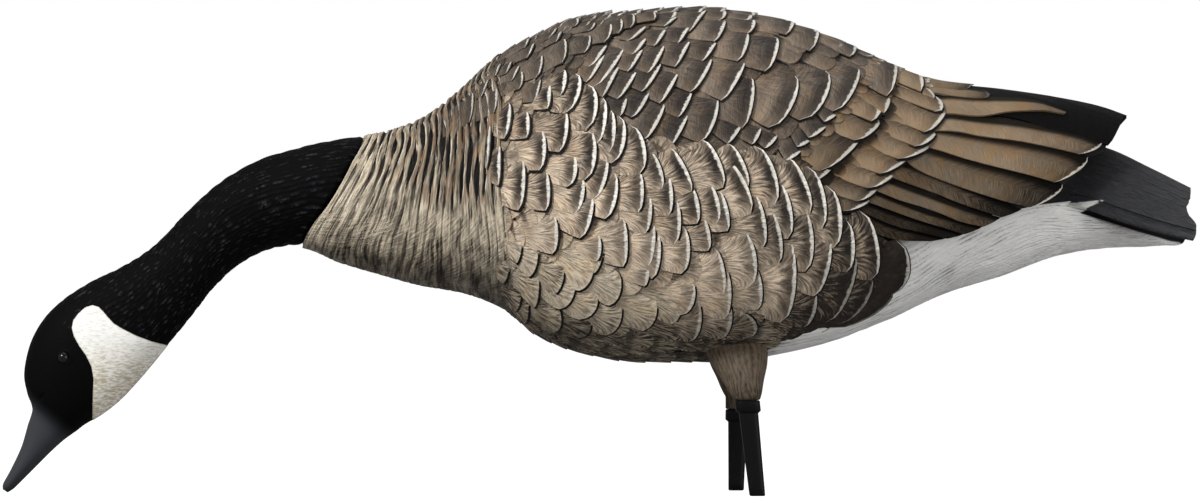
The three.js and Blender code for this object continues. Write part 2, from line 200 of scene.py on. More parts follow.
def cloud(u: Array, v: Array, seed: float) -> Array:
    """Smooth noise from 0 to 1.

    The corners of a unit lattice have random heights, and between them it is mixed along both ways with a
    soft step.

    Args:
        u, v: the places.
        seed: another number gives another noise.

    Returns:
        The noise at the places.
    """
    iu, iv = np.floor(u), np.floor(v)
    fu, fv = smooth(0, 1, u - iu), smooth(0, 1, v - iv)
    low = mix(hashed(iu, iv, seed), hashed(iu + 1, iv, seed), fu)
    high = mix(hashed(iu, iv + 1, seed), hashed(iu + 1, iv + 1, seed), fu)
    return mix(low, high, fv)


def wander(u: Array, v: Array, seed: float) -> Array:
    """The same noise from -0.5 to 0.5."""
    return cloud(u, v, seed) - 0.5


def arc(u: Array, bend: float) -> Array:
    """How far a rounded end stands back at the share u from its middle: 1 - root of (1 - bend * u * u)."""
    return 1 - np.sqrt(1 - bend * u**2)


def dot(a: Array, b: Array) -> Array:
    """Sum of the products of vectors' numbers."""
    return np.einsum("...i,...i", a, b)


def in_surface(v: Array, normal: Array) -> Array:
    """Directions turned into the surface that has these outward directions."""
    return unit_vectors(v - normal * dot(v, normal)[:, None])


# The photograph's view and the surfaces that it shows

@dataclass(frozen=True)
class PhotoView:
    """The level camera on the goose's left: how the side view's pixels lie on the figure."""

    distance: float = 4.5
    middle: tuple = (600.0, 249.5)
    origin: tuple = (601.0, 493.0)
    pixels_per_unit: float = 1.193

    @property
    def pixel(self) -> float:
        """Size of a pixel at the middle plane of the figure."""
        return UNIT / self.pixels_per_unit

    @property
    def eye(self) -> tuple:
        """Where the camera looks: x and height."""
        return ((self.middle[0] - self.origin[0]) * self.pixel + SHIFT,
                (self.origin[1] - self.middle[1]) * self.pixel)

    def at_depth(self, px: Array, py: Array, y: Array) -> tuple:
        """x and height of what shows at a pixel, if it stands at depth y.

        Its offset from the camera's axis grows in proportion to its distance from the camera.

        Args:
            px, py: the pixels.
            y: the depths, from the middle plane.

        Returns:
            x and height.
        """
        grow = (self.distance + y) / self.distance
        x = self.eye[0] + (px - self.middle[0]) * self.pixel * grow
        z = self.eye[1] + (self.middle[1] - py) * self.pixel * grow
        return x, z

    def pixels(self, p: Array) -> tuple:
        """Pixels at which points show; a point of the right side counts as its mirror image on the left.

        Args:
            p: the points.

        Returns:
            px and py.
        """
        grow = (self.distance - np.abs(p[..., 1])) / self.distance
        px = self.middle[0] + (p[..., 0] - self.eye[0]) / (self.pixel * grow)
        py = self.middle[1] - (p[..., 2] - self.eye[1]) / (self.pixel * grow)
        return px, py


VIEW = PhotoView()


def noted(p: Array, notes: tuple, blur: float) -> Array:
    """Paint at some points: the mean of notes given at pixels, each weighed by its nearness.

    A note's weight is its squared distance in pixels plus the blur, to the power of -1.5.

    Args:
        p: the points.
        notes: rows of px, py and the numbers noted there.
        blur: in pixels squared. The larger it is, the softer the paint runs.

    Returns:
        The noted numbers at each point.
    """
    notes = np.array(notes, float)
    px, py = VIEW.pixels(p)
    far = (px[..., None] - notes[:, 0]) ** 2 + (py[..., None] - notes[:, 1]) ** 2 + blur
    weight = far**-1.5
    return weight @ notes[:, 2:] / weight.sum(axis=-1, keepdims=True)


@dataclass(frozen=True)
class Hull:
    """A surface lofted through rounded cross-sections, each a little fuller than an ellipse.

    At distance d from the widest level and y from the middle plane, a point lies on it where
    |y / half width| ^ f + |d / reach| ^ f = 1, and f is the fullness.
    """

    rows: tuple
    fullness: float = 2.15

    def section(self, x: Array) -> tuple:
        """Top, bottom, half width and widest level at x."""
        return tuple(table_at(self.rows, k, x) for k in (1, 2, 3, 4))

    def reach(self, x: Array, above: Array) -> tuple:
        """Half width, widest level and the reach from that level up or down."""
        top, bottom, half, level = self.section(x)
        return half, level, np.where(above, top - level, level - bottom)

    def point(self, x: Array, a: Array) -> Array:
        """Point of the surface at x and angle a, counted from the left side up over the back.

        Args:
            x: the sections' places.
            a: the angles.

        Returns:
            The points.
        """
        c, s = np.cos(a), np.sin(a)
        half, level, reach = self.reach(x, s >= 0)
        power = 2 / self.fullness
        y = -half * np.sign(c) * np.abs(c) ** power
        z = level + reach * np.sign(s) * np.abs(s) ** power
        return side_by_side(x, y, z)

    def stretch(self, p: Array) -> Array:
        """How much a point's offset from the middle of its section grows to reach the surface.

        Args:
            p: the points.

        Returns:
            The growth, 1 on the surface itself.
        """
        half, level, reach = self.reach(p[..., 0], p[..., 2] >= self.section(p[..., 0])[3])
        f = self.fullness
        total = np.abs(p[..., 1] / half) ** f + np.abs((p[..., 2] - level) / reach) ** f
        return np.maximum(total, 1e-9) ** (-1 / f)

    def angle(self, p: Array) -> Array:
        """Angle of a point near the surface, as if it were on the left side.

        Args:
            p: the points.

        Returns:
            The angles, from the widest level up.
        """
        _, level, reach = self.reach(p[..., 0], p[..., 2] >= self.section(p[..., 0])[3])
        share = np.clip(np.abs(p[..., 2] - level) / reach, 0, 1)
        return np.arcsin(share ** (self.fullness / 2)) * np.sign(p[..., 2] - level)

    def normal(self, p: Array) -> Array:
        """Outward direction of the surface at a point on it: the slope of the sum in the class's formula.

        Args:
            p: the points.

        Returns:
            The directions, each of length 1.
        """
        x, f, step = p[..., 0], self.fullness, MM
        above = p[..., 2] >= self.section(x)[3]
        half, level, reach = self.reach(x, above)
        half2, level2, reach2 = self.reach(x + step, above)
        half1, level1, reach1 = self.reach(x - step, above)
        y, d = p[..., 1] / half, (p[..., 2] - level) / reach
        gy = np.sign(y) * np.abs(y) ** (f - 1) / half
        gz = np.sign(d) * np.abs(d) ** (f - 1) / reach
        gx = -(np.abs(y) ** f * (half2 - half1) / half + np.abs(d) ** f * (reach2 - reach1) / reach)
        gx = (gx / (2 * step)) - gz * (level2 - level1) / (2 * step)
        return unit_vectors(side_by_side(gx, gy, gz))

    def from_pixels(self, px: Array, py: Array) -> tuple:
        """x and angle of what shows at a pixel. A pixel outside the outline falls on the outline.

        The depth of the point is worked out from its place, and the place from its depth, in turns.

        Args:
            px, py: the pixels.

        Returns:
            x and angle.
        """
        px, py = np.asarray(px, float), np.asarray(py, float)
        y = np.zeros_like(px)
        for _ in range(6):
            x, z = VIEW.at_depth(px, py, y)
            a = self.angle(side_by_side(x, y, z))
            y = self.point(x, a)[..., 1]
        return x, a


BODY = Hull(BODY_ROWS)
WING = Hull(WING_ROWS)
WING_RISE = 4.0 * MM            # how far the edge of the folded wing stands off the flank
OVERLAP = 1.6 * MM              # how far the flank's feathers lie over the wing's
INSET = 1.0 * MM                # how far feathers are bedded under the hull that is drawn through their tips


def wing_edge_angle(x: Array) -> Array:
    """Angle of the wing's lower edge on its hull."""
    return WING.angle(side_by_side(x, 0, table_at(WING_EDGE, 1, x)))


def wing_share(p: Array) -> Array:
    """Place on the wing from the middle of the back (0) to the wing's lower edge (1), and beyond."""
    return (math.pi / 2 - WING.angle(p)) / (math.pi / 2 - wing_edge_angle(p[..., 0]))


def wing_lift(w: Array) -> Array:
    """How far the wing stands off its hull: nothing on the back, all of it near the lower edge."""
    return WING_RISE * smooth(0.1, 0.9, w)


class Base(Enum):
    """Which surface a field of feathers lies on."""

    BODY = "body"
    WING = "wing"
    OUTER = "outer"


def settle(p: Array, base: Base) -> tuple:
    """Moves points onto a base surface, straight out from the middle of their cross-sections.

    The outer surface is the body's, which swells towards the folded wing until it lies over it. All
    offsets run square to x, so that a point keeps its place along the goose.

    Args:
        p: points near the surface.
        base: which surface.

    Returns:
        The points on the surface, and its outward directions there.
    """
    hull = WING if base is Base.WING else BODY
    level = hull.section(p[..., 0])[3]
    middle = side_by_side(p[..., 0], 0, level)
    arm = p - middle
    on = middle + arm * hull.stretch(p)[..., None]
    normal = hull.normal(on)
    level_out = unit_vectors(normal * np.array([0, 1, 1]))
    on = on - level_out * INSET
    if base is Base.BODY:
        return on, normal
    if base is Base.WING:
        return on + level_out * wing_lift(wing_share(on))[..., None], normal
    wing, _ = settle(p, Base.WING)
    w = wing_share(wing)
    first = grid_x(WING_ROWS[0][0])
    covered = smooth(1.45, 1.0, w) * smooth(first, first + 30 * MM, p[..., 0])
    gain = np.maximum(dot(wing - on, level_out), 0) + OVERLAP * smooth(0.05, 0.4, w)
    return on + level_out * (gain * covered)[..., None], normal


def seam_ring(a: Array) -> Array:
    """x at which each angle of the body meets the seam, worked out in turns from a first guess.

    Args:
        a: the angles.

    Returns:
        x at each angle.
    """
    x = np.full(len(a), grid_x(-230))
    for _ in range(6):
        x = seam_at(BODY.point(x, a)[:, 2])
    return x


def inside_outline(px: Array, py: Array, outline: tuple) -> Array:
    """Distance of points to a closed outline: above nought inside it and below nought outside.

    The distance is the least of those to its straight sides, and the sign comes from how often a level
    line to the right crosses them.

    Args:
        px, py: the pixels of the points.
        outline: the corners in order, in pixels.

    Returns:
        The distances, in pixels.
    """
    corners = np.array(outline, float)
    best = np.full(px.shape, np.inf)
    inside = np.zeros(px.shape, bool)
    for (ax, ay), (bx, by) in zip(corners, np.roll(corners, -1, axis=0)):
        dx, dy = bx - ax, by - ay
        t = np.clip(((px - ax) * dx + (py - ay) * dy) / (dx * dx + dy * dy), 0, 1)
        best = np.minimum(best, np.hypot(px - ax - t * dx, py - ay - t * dy))
        crosses = (ay > py) != (by > py)
        at = ax + (py - ay) * dx / (dy if dy else 1.0)
        inside ^= crosses & (px < at)
    return np.where(inside, best, -best)


# The white under the wings and the tail, in the side view
WHITE = ((892, 226), (905, 250), (905, 270), (892, 288), (876, 305), (850, 322), (790, 340), (740, 375),
         (1215, 375), (1215, 252), (1172, 246), (1137, 235), (1105, 224), (1075, 213.5), (1090, 206.5),
         (1106, 199.5), (1073, 203), (1045, 206.5), (1018, 209), (990, 214), (960, 222), (925, 226))


def white_inside(p: Array) -> Array:
    """How far points lie inside the white, in millimetres."""
    px, py = VIEW.pixels(p)
    return inside_outline(px, py, WHITE) * VIEW.pixel / MM


# Meshes

def set_down(name: str, data: bpy.types.ID) -> Piece:
    """An object that holds some data, linked into the scene.

    Args:
        name: the object's name.
        data: a mesh, a light or a camera.

    Returns:
        The object.
    """
    made = bpy.data.objects.new(name, data)
    bpy.context.scene.collection.objects.link(made)
    return made


@dataclass
class Solid:
    """Points and faces that are gathered before they become one piece."""

    points: list = field(default_factory=list)
    sizes: list = field(default_factory=list)
    corners: list = field(default_factory=list)
    values: dict = field(default_factory=dict)
    count: int = 0

    def add(self, points: Array, faces: list, **values: Array) -> None:
        """Adds a batch of points with its faces and the values that its points carry.

        Args:
            points: any number of points, in rows of three.
            faces: arrays of whole numbers, each holding faces with the same number of corners.
            values: arrays of three numbers a point, by attribute name.
        """
        points = points.reshape(-1, 3)
        self.points.append(points)
        for block in faces:
            block = np.asarray(block)
            self.sizes.append(np.full(len(block), block.shape[1]))
            self.corners.append((block + self.count).ravel())
        for name, value in values.items():
            self.values.setdefault(name, []).append(np.broadcast_to(value, points.shape))
        self.count += len(points)

    def piece(self, name: str, material: Material, sharp: float = 40.0) -> Piece:
        """The gathered mesh as an object at the origin.

        Args:
            name: the piece's name.
            material: its finish.
            sharp: edges that turn by more than this many degrees stay crisp.

        Returns:
            The new object.
        """
        mesh = bpy.data.meshes.new(name)
        points = np.concatenate(self.points)
        sizes, corners = np.concatenate(self.sizes), np.concatenate(self.corners)
        mesh.vertices.add(len(points))
        mesh.vertices.foreach_set("co", points.astype(np.float32).ravel())
        mesh.loops.add(len(corners))
        mesh.loops.foreach_set("vertex_index", corners.astype(np.int32))
        mesh.polygons.add(len(sizes))
        starts = np.concatenate([[0], np.cumsum(sizes)[:-1]])
        mesh.polygons.foreach_set("loop_start", starts.astype(np.int32))
        mesh.update(calc_edges=True)
        mesh.validate()
        mesh.polygons.foreach_set("use_smooth", np.ones(len(mesh.polygons), bool))
        mesh.set_sharp_from_angle(angle=math.radians(sharp))
        for key, blocks in self.values.items():
            data = mesh.attributes.new(key, "FLOAT_VECTOR", "POINT").data
            data.foreach_set("vector", np.concatenate(blocks).astype(np.float32).ravel())
        mesh.materials.append(material)
        log.info("%s: %d faces, %d triangles", name, len(sizes), (sizes - 2).sum())
        return set_down(name, mesh)


def ring_faces(rings: int, around: int) -> list:
    """Faces of a closed tube of rings, with a fan on each end.

    Ring i's point j is number i * around + j, and the two last points are the middles of the ends. The
    rings run so that along x around points outwards.

    Args:
        rings: how many rings.
        around: points in a ring.

    Returns:
        The sides, with four corners, and the two fans, with three.
    """
    i, j = np.meshgrid(np.arange(rings - 1), np.arange(around), indexing="ij")
    k = (j + 1) % around
    sides = np.stack([i * around + j, (i + 1) * around + j, (i + 1) * around + k, i * around + k], -1)
    j = np.arange(around)
    k = (j + 1) % around
    last = (rings - 1) * around
    start = np.stack([j, k, np.full(around, rings * around)], -1)
    end = np.stack([last + k, last + j, np.full(around, rings * around + 1)], -1)
    return [sides.reshape(-1, 4), start, end]


def enclosed(rings: Array) -> float:
    """Volume inside a tube of rings: the sum over its faces of corner . (corner x corner) / 6.

    Args:
        rings: array of rings by points by three.

    Returns:
        The volume, below nought where the faces point inwards.
    """
    points = np.concatenate([rings.reshape(-1, 3), rings[[0, -1]].mean(axis=1)])
    total = 0.0
    for block in ring_faces(*rings.shape[:2]):
        for k in range(1, block.shape[1] - 1):
            a, b, c = (points[block[:, m]] for m in (0, k, k + 1))
            total += float(np.einsum("ij,ij->", a, np.cross(b, c)) / 6)
    return total


def tube(solid: Solid, rings: Array, **values: Array) -> None:
    """Adds a closed tube of rings, turned round first if its faces would point inwards.

    Args:
        solid: what the tube is added to.
        rings: array of rings by points by three.
        values: arrays of rings by points by three, by attribute name.
    """
    count, around = rings.shape[:2]
    if enclosed(rings) < 0:
        rings = rings[:, ::-1]
        values = {name: v[:, ::-1] for name, v in values.items()}
    ends = rings[[0, -1]].mean(axis=1)
    points = np.concatenate([rings.reshape(-1, 3), ends])
    carried = {name: np.concatenate([v.reshape(-1, 3), v[[0, -1]].mean(axis=1)])
               for name, v in values.items()}
    solid.add(points, ring_faces(count, around), **carried)


def skin(name: str, material: Material, rings: Array, sharp: float = 40.0, **values: Array) -> Piece:
    """A piece that is one closed tube of rings.

    Args:
        name: the piece's name.
        material: the finish.
        rings: array of rings by points by three.
        sharp: edges that turn by more than this many degrees stay crisp.
        values: arrays of rings by points by three, by attribute name.

    Returns:
        The piece.
    """
    solid = Solid()
    tube(solid, rings, **values)
    return solid.piece(name, material, sharp)


# Small feathers

FEATHER_STEPS = np.array([0, 0.34, 0.6, 0.82, 1.0])     # places along a feather, root to tip
BACK_ANGLE = math.radians(87)   # a row that starts above it has a feather on the middle of the back


@dataclass(frozen=True)
class FeatherCut:
    """How one kind of small feather is carved. Lengths are in millimetres."""

    columns: int = 8
    rise: float = 2.2           # tip over the base surface
    sink: float = 1.2           # root under it
    crown: float = 0.7          # fall from the shaft to the sides
    roundness: float = 0.8      # how far the tip's corners stand back, as a share of half the width
    grooves: int = 0            # furrows that fan out to the tip
    groove_depth: float = 0.4
    lap: float = 1.75           # length, in distances between rows
    spread: float = 1.12        # width, in distances between neighbours
    fall: float = 0.3           # share of the rise that is lost at the sides
    stretch: float = 1.15       # width of drawn feathers over what is drawn
    rim: float = 0.9            # painted shadow: a dark line past the tips of drawn feathers
    root: float = 0.86          # width at the root, as a share of the tip's
    tilt: float = 0.4           # rise of the lower side over the shaft
    stem: float = 12.0          # length of drawn feathers over 0.7 of their width
    underside: float = 0.0      # painted shade: how much darker the tone is where the base faces down


@dataclass
class Tips:
    """Where a batch of feathers ends, and how each is shaped and painted. Lengths are in metres."""

    point: Array
    along: Array
    width: Array
    length: Array
    bulge: Array           # how far the tip's corners stand back
    skew: Array            # how much further the upper corner does, and the lower one less
    seen: Array            # length that the feathers ahead leave bare
    proud: Array           # share of the cut's rise
    paint: Array           # tone, band, edge, and 1 for the dark rim of painted shadow under a feather

    def mirrored(self) -> "Tips":
        """The same feathers on the goose's other side."""
        flip = np.array([1, -1, 1])
        return replace(self, point=self.point * flip, along=self.along * flip, skew=-self.skew)

    def rims(self, size: float) -> "Tips":
        """Dark rims of painted shadow that show as a thin line past the tips, wider below.

        Args:
            size: how far a rim shows, in millimetres.

        Returns:
            The rims, as feathers of their own.
        """
        paint = self.paint * np.array([1, 1, 0, 0]) + np.array([0, 0, 0, 1])
        move = self.along + np.array([0, 0, -0.8])
        return replace(self, point=self.point + move * size * MM, width=self.width + size * MM,
                       proud=self.proud * 0.75, paint=paint)


def shell_faces(columns: int) -> list:
    """Faces of one closed feather: its top grid, its rim and its flat underside.

    Args:
        columns: steps across the feather.

    Returns:
        Arrays of faces, by their number of corners.
    """
    rows = len(FEATHER_STEPS) - 1
    i, j = np.meshgrid(np.arange(rows), np.arange(columns), indexing="ij")
    g = lambda a, b: a * (columns + 1) + b
    top = np.stack([g(i, j), g(i + 1, j), g(i + 1, j + 1), g(i, j + 1)], -1).reshape(-1, 4)
    start = (rows + 1) * (columns + 1)
    left = start + np.arange(rows)
    right = left + rows
    inner = start + 2 * rows + np.arange(columns - 1)
    tip = np.concatenate([left[-1:], inner, right[-1:]])
    k = np.arange(1, rows)
    side = np.concatenate([
        np.stack([g(k, 0), left[k - 1], left[k], g(k + 1, 0)], -1),
        np.stack([g(k, columns), g(k + 1, columns), right[k], right[k - 1]], -1),
        np.stack([left[k - 1], right[k - 1], right[k], left[k]], -1),
    ])
    j = np.arange(columns)
    end = np.stack([g(rows, j), tip[j], tip[j + 1], g(rows, j + 1)], -1)
    corners = np.array([[g(0, 0), left[0], g(1, 0)], [g(0, columns), g(1, columns), right[0]]])
    root = np.concatenate([np.arange(columns + 1), right[:1], left[:1]])[None]
    sole = np.concatenate([left[-1:], right[-1:], inner[::-1]])[None]
    return [top, side, end, corners, root, sole]


def closed(sheet: Array, sole: Array) -> Array:
    """What a feather's points carry: the values of its top grid, and of the rim of its underside."""
    flat = sheet.reshape(len(sheet), -1, *sheet.shape[3:])
    return np.concatenate([flat, sole[:, 1:, 0], sole[:, 1:, -1], sole[:, -1, 1:-1]], axis=1)


def add_feathers(solid: Solid, tips: Tips, cut: FeatherCut, base: Base, rng: np.random.Generator) -> None:
    """Adds a closed shell for each feather of a batch.

    A point at the share u across (-1 to 1) and v along (0 to 1) lies u half widths aside and (1 - v)
    lengths behind the tip, and its corners stand back on a circle's arc. It is brought onto the base
    surface and raised from under it at the root to the full rise at the tip, less at the sides.

    Args:
        solid: what the feathers are added to.
        tips: where they end.
        cut: how they are carved.
        base: the surface that they lie on.
        rng: source of the small differences between them.
    """
    n = len(tips.point)
    u, v = np.meshgrid(np.linspace(-1, 1, cut.columns + 1), FEATHER_STEPS)
    half, length, bulge, skew, seen, proud, rim = (
        part[:, None, None] for part in (tips.width / 2, tips.length, tips.bulge, tips.skew, tips.seen,
                                         tips.proud, tips.paint[:, 3]))
    bow = arc(u, 0.985) / (1 - math.sqrt(0.015))
    back = (1 - v) * length + (bulge * bow + skew * u) * v**1.5
    aside = u * half * mix(cut.root, 1, smooth(0, 1, v**0.7))
    on, normal = settle(tips.point, base)
    along = in_surface(tips.along, normal)
    across = np.cross(normal, along)
    p = (on[:, None, None] + across[:, None, None] * aside[..., None]
         - along[:, None, None] * back[..., None])
    on, normal = settle(p, base)
    level = smooth(0.8, 0.98, normal[..., 2])
    flat = 0.85 * smooth(0.7, 0.97, -normal[..., 2]) + 0.6 * level      # under the belly and on the back
    upwards = u * np.where(across[:, 2] < 0, -1, 1)[:, None, None]
    lift = proud * (1 - flat) * (1 - cut.fall * u**4 * mix(0.2, 1.3, smooth(-0.5, 0.5, upwards)))
    furrow = 1 - np.abs(np.cos(u * math.pi * cut.grooves / 2)) if cut.grooves else 0 * u
    lean = cut.tilt * upwards * smooth(0.2, 1, v) * (1 - level)
    height = (-cut.sink + (cut.sink + cut.rise * lift) * v**0.9 - cut.crown * u**2 * smooth(0, 0.7, v) - lean
              - cut.groove_depth * furrow * smooth(0.2, 0.8, v)) * MM
    points = closed(on + normal * height[..., None], on - normal * (cut.sink + 0.3) * MM)
    behind = (1 - v) * length
    plume = side_by_side(upwards, behind / MM, rng.random((n, 1))[:, None])
    # How far the feather lies under those ahead, where painted shadow goes, and the flag of the painted
    # shadow rims
    hidden = side_by_side(behind / seen, rim, 0)
    paint = np.repeat(tips.paint[:, None, :3], points.shape[1], axis=1)
    # Painted shade: the tone falls where the base faces down
    low = smooth(0.6, 0.92, -normal[..., 2])
    paint[..., 0] -= cut.underside * closed(low, low)
    offset = (np.arange(n) * points.shape[1])[:, None, None]
    faces = [(block[None] + offset).reshape(-1, block.shape[1]) for block in shell_faces(cut.columns)]
    solid.add(points, faces, plume=closed(plume, plume).reshape(-1, 3), tint=paint.reshape(-1, 3),
              hidden=closed(hidden, hidden).reshape(-1, 3))


@dataclass(frozen=True)
class Tract:
    """A field of small feathers in rows.

    Its lines are rows of tips drawn in the side view, from the top down, each with its row number. Rows
    between two lines lie evenly between them. A line that starts above the outline starts on the middle of
    the back. The notes say how the feathers near a pixel are painted: px, py, tone, band, edge.
    """

    name: str
    base: Base
    rows: int
    lines: tuple
    widths: tuple               # in millimetres, in the first row and in the last
    cut: FeatherCut
    notes: tuple
    heading: tuple = ()         # degrees in the side view, at the top and the bottom of a row
    drawn: tuple = ()           # feathers drawn one by one: px, py of the edge's top, middle and bottom
    jitter: float = 0.07
    seed: int = 1
    front: float = 0.0          # px that the roots of drawn feathers don't pass

    @property
    def hull(self) -> Hull:
        """The hull on which the rows are drawn."""
        return WING if self.base is Base.WING else BODY

    def guide(self, line: tuple, steps: int = 60) -> Array:
        """x and angle of a line, at even steps over the surface.

        Args:
            line: pixels from the top down.
            steps: how many points are given back.

        Returns:
            Rows of x and angle.
        """
        line = np.array(line, float).reshape(-1, 2)
        x, a = self.hull.from_pixels(*line.T)
        t = running_length(line)
        dense = np.linspace(0, t[-1], 240)
        x, a = curve_at(t, x, dense), curve_at(t, a, dense)
        s = running_length(self.hull.point(x, a))
        even = np.linspace(0, s[-1], steps)
        return np.stack([np.interp(even, s, x), np.interp(even, s, a)], -1)

    def row_points(self) -> Array:
        """x and angle of every row's line, at even steps.

        Returns:
            Rows by steps by x and angle.
        """
        numbers = np.array([number for number, _ in self.lines], float)
        guides = np.stack([self.guide(line) for _, line in self.lines])
        r = np.arange(self.rows)
        i = np.clip(np.searchsorted(numbers, r, side="right") - 1, 0, len(numbers) - 2)
        t = ((r - numbers[i]) / (numbers[i + 1] - numbers[i]))[:, None, None]
        return mix(guides[i], guides[i + 1], t)

    def paint_at(self, points: Array) -> Array:
        """Paint of feathers at some points, after the notes, and no rim of painted shadow."""
        paint = noted(points, self.notes, 100)
        return np.concatenate([paint, np.zeros((len(paint), 1))], axis=1)

    def tips(self, rng: np.random.Generator) -> tuple:
        """Tips of the left side's feathers, and of those on the middle of the back.

        Args:
            rng: source of the small differences between the feathers.

        Returns:
            The two batches, those of the side first.
        """
        places = self.row_points()
        lines, _ = settle(self.hull.point(places[..., 0], places[..., 1]), self.base)
        found = {"side": [], "middle": []}
        for r, line in enumerate(lines):
            s = running_length(line)
            width = mix(*self.widths, r / (self.rows - 1)) * MM
            on_back = places[r, 0, 1] > BACK_ANGLE
            first = (0 if on_back else 0.35 * width) + (width / 2 if r % 2 else 0)
            at = np.arange(first, s[-1] + width * 0.3, width)
            point = interp_points(at, s, line)
            other = lines[r - 1 if r else 1]
            far = running_length(other)
            twin = interp_points(at / s[-1] * far[-1], far, other)
            down = unit_vectors(interp_points(at, s, np.gradient(line, axis=0)))
            _, normal = settle(point, self.base)
            along = unit_vectors(np.cross(normal, down))
            if self.heading:
                turn = np.radians(np.interp(at / s[-1], [0, 1], self.heading))
                along = side_by_side(np.cos(turn), 0, np.sin(turn))
            step = np.clip(np.abs(dot(point - twin, along)), 5 * MM, 40 * MM)
            room = point[:, 0] - seam_at(point[:, 2]) - MM
            step = np.minimum(step, np.maximum(room, 2 * MM) / self.cut.lap)
            swing = rng.normal(0, 0.07, len(at))[:, None]
            along = unit_vectors(along + down * swing)
            slip = rng.normal(0, self.jitter, (2, len(at), 1))
            middle = (at < 1e-6) & on_back
            slip[:, middle] = 0
            point = point + along * slip[0] * step[:, None] + down * slip[1] * width
            size = width * rng.uniform(0.94, 1.08, len(at)) * self.cut.spread
            paint = self.paint_at(point)
            proud = rng.uniform(0.8, 1.2, len(at))
            if self.drawn:
                up = smooth(0.82, 0.95, normal[:, 2])
                proud = proud * mix(0.45, 1, up)
                paint[:, 1:3] *= np.stack([mix(0.5, 1, up), up], -1)
            tips = (point, along, size, step * self.cut.lap, self.cut.roundness * size * 0.44, 0 * size,
                    step, proud, paint)
            for key, chosen in (("side", ~middle), ("middle", middle)):
                found[key].append([part[chosen] for part in tips])
        return tuple(Tips(*(np.concatenate(parts) for parts in zip(*found[key])))
                     for key in ("side", "middle"))

    def drawn_tips(self, rng: np.random.Generator) -> Tips:
        """Tips of the feathers that are drawn one by one.

        Such a feather points straight away from the line between its edge's two ends, or along the
        tract's heading, and its tip's arc runs through both ends and as far out as the middle.

        Args:
            rng: source of the small differences between the feathers.

        Returns:
            The batch.
        """
        px, py = np.moveaxis(np.array(self.drawn, float).reshape(-1, 3, 2), -1, 0)
        x, a = self.hull.from_pixels(px, py)
        at, _ = settle(self.hull.point(x, a), self.base)
        top, far, bottom = at[:, 0], at[:, 1], at[:, 2]
        middle = (top + bottom) / 2
        _, normal = settle(middle, self.base)
        along = unit_vectors(np.cross(normal, bottom - top))
        if self.heading:
            turn = math.radians(sum(self.heading) / 2)
            along = along * 0 + np.array([math.cos(turn), 0, math.sin(turn)])
            along = in_surface(along, normal)
        out, drop = (dot(end - middle, along) for end in (far, bottom))
        out = np.maximum(out, MM)
        width = np.linalg.norm(bottom - top - along * 2 * drop[:, None], axis=1) * self.cut.stretch
        out, drop = out * self.cut.stretch, drop * self.cut.stretch
        length = np.clip(0.7 * width + self.cut.stem * MM + out, 14 * MM, 40 * MM)
        front, _ = self.hull.from_pixels(np.array([self.front]), np.array([150.0]))
        front = np.maximum(seam_at(middle[:, 2]) + MM, front)
        length = np.minimum(length, np.maximum(middle[:, 0] - front, 3 * MM))
        proud = rng.uniform(1.1, 1.3, len(width))
        return Tips(middle + along * out[:, None] / self.cut.stretch, along, width, length, out, drop,
                    0 * width + 1, proud, self.paint_at(middle))

    def build(self, material: Material) -> Piece:
        """The whole tract, on both sides, as one piece.

        Args:
            material: the finish.

        Returns:
            The piece.
        """
        rng = np.random.default_rng(self.seed)
        solid = Solid()
        side, middle = self.tips(rng)
        batches = [side, side.mirrored(), middle]
        if self.drawn:
            drawn = self.drawn_tips(rng)
            # each drawn feather also gets a dark rim of painted shadow
            batches += [tips for own in (drawn, drawn.mirrored()) for tips in (own, own.rims(self.cut.rim))]
        for k, tips in enumerate(batches):
            cut = replace(self.cut, root=0.86) if k < 3 else self.cut
            if len(tips.point):
                add_feathers(solid, tips, cut, self.base, rng)
        return solid.piece(self.name, material)


# Node graphs


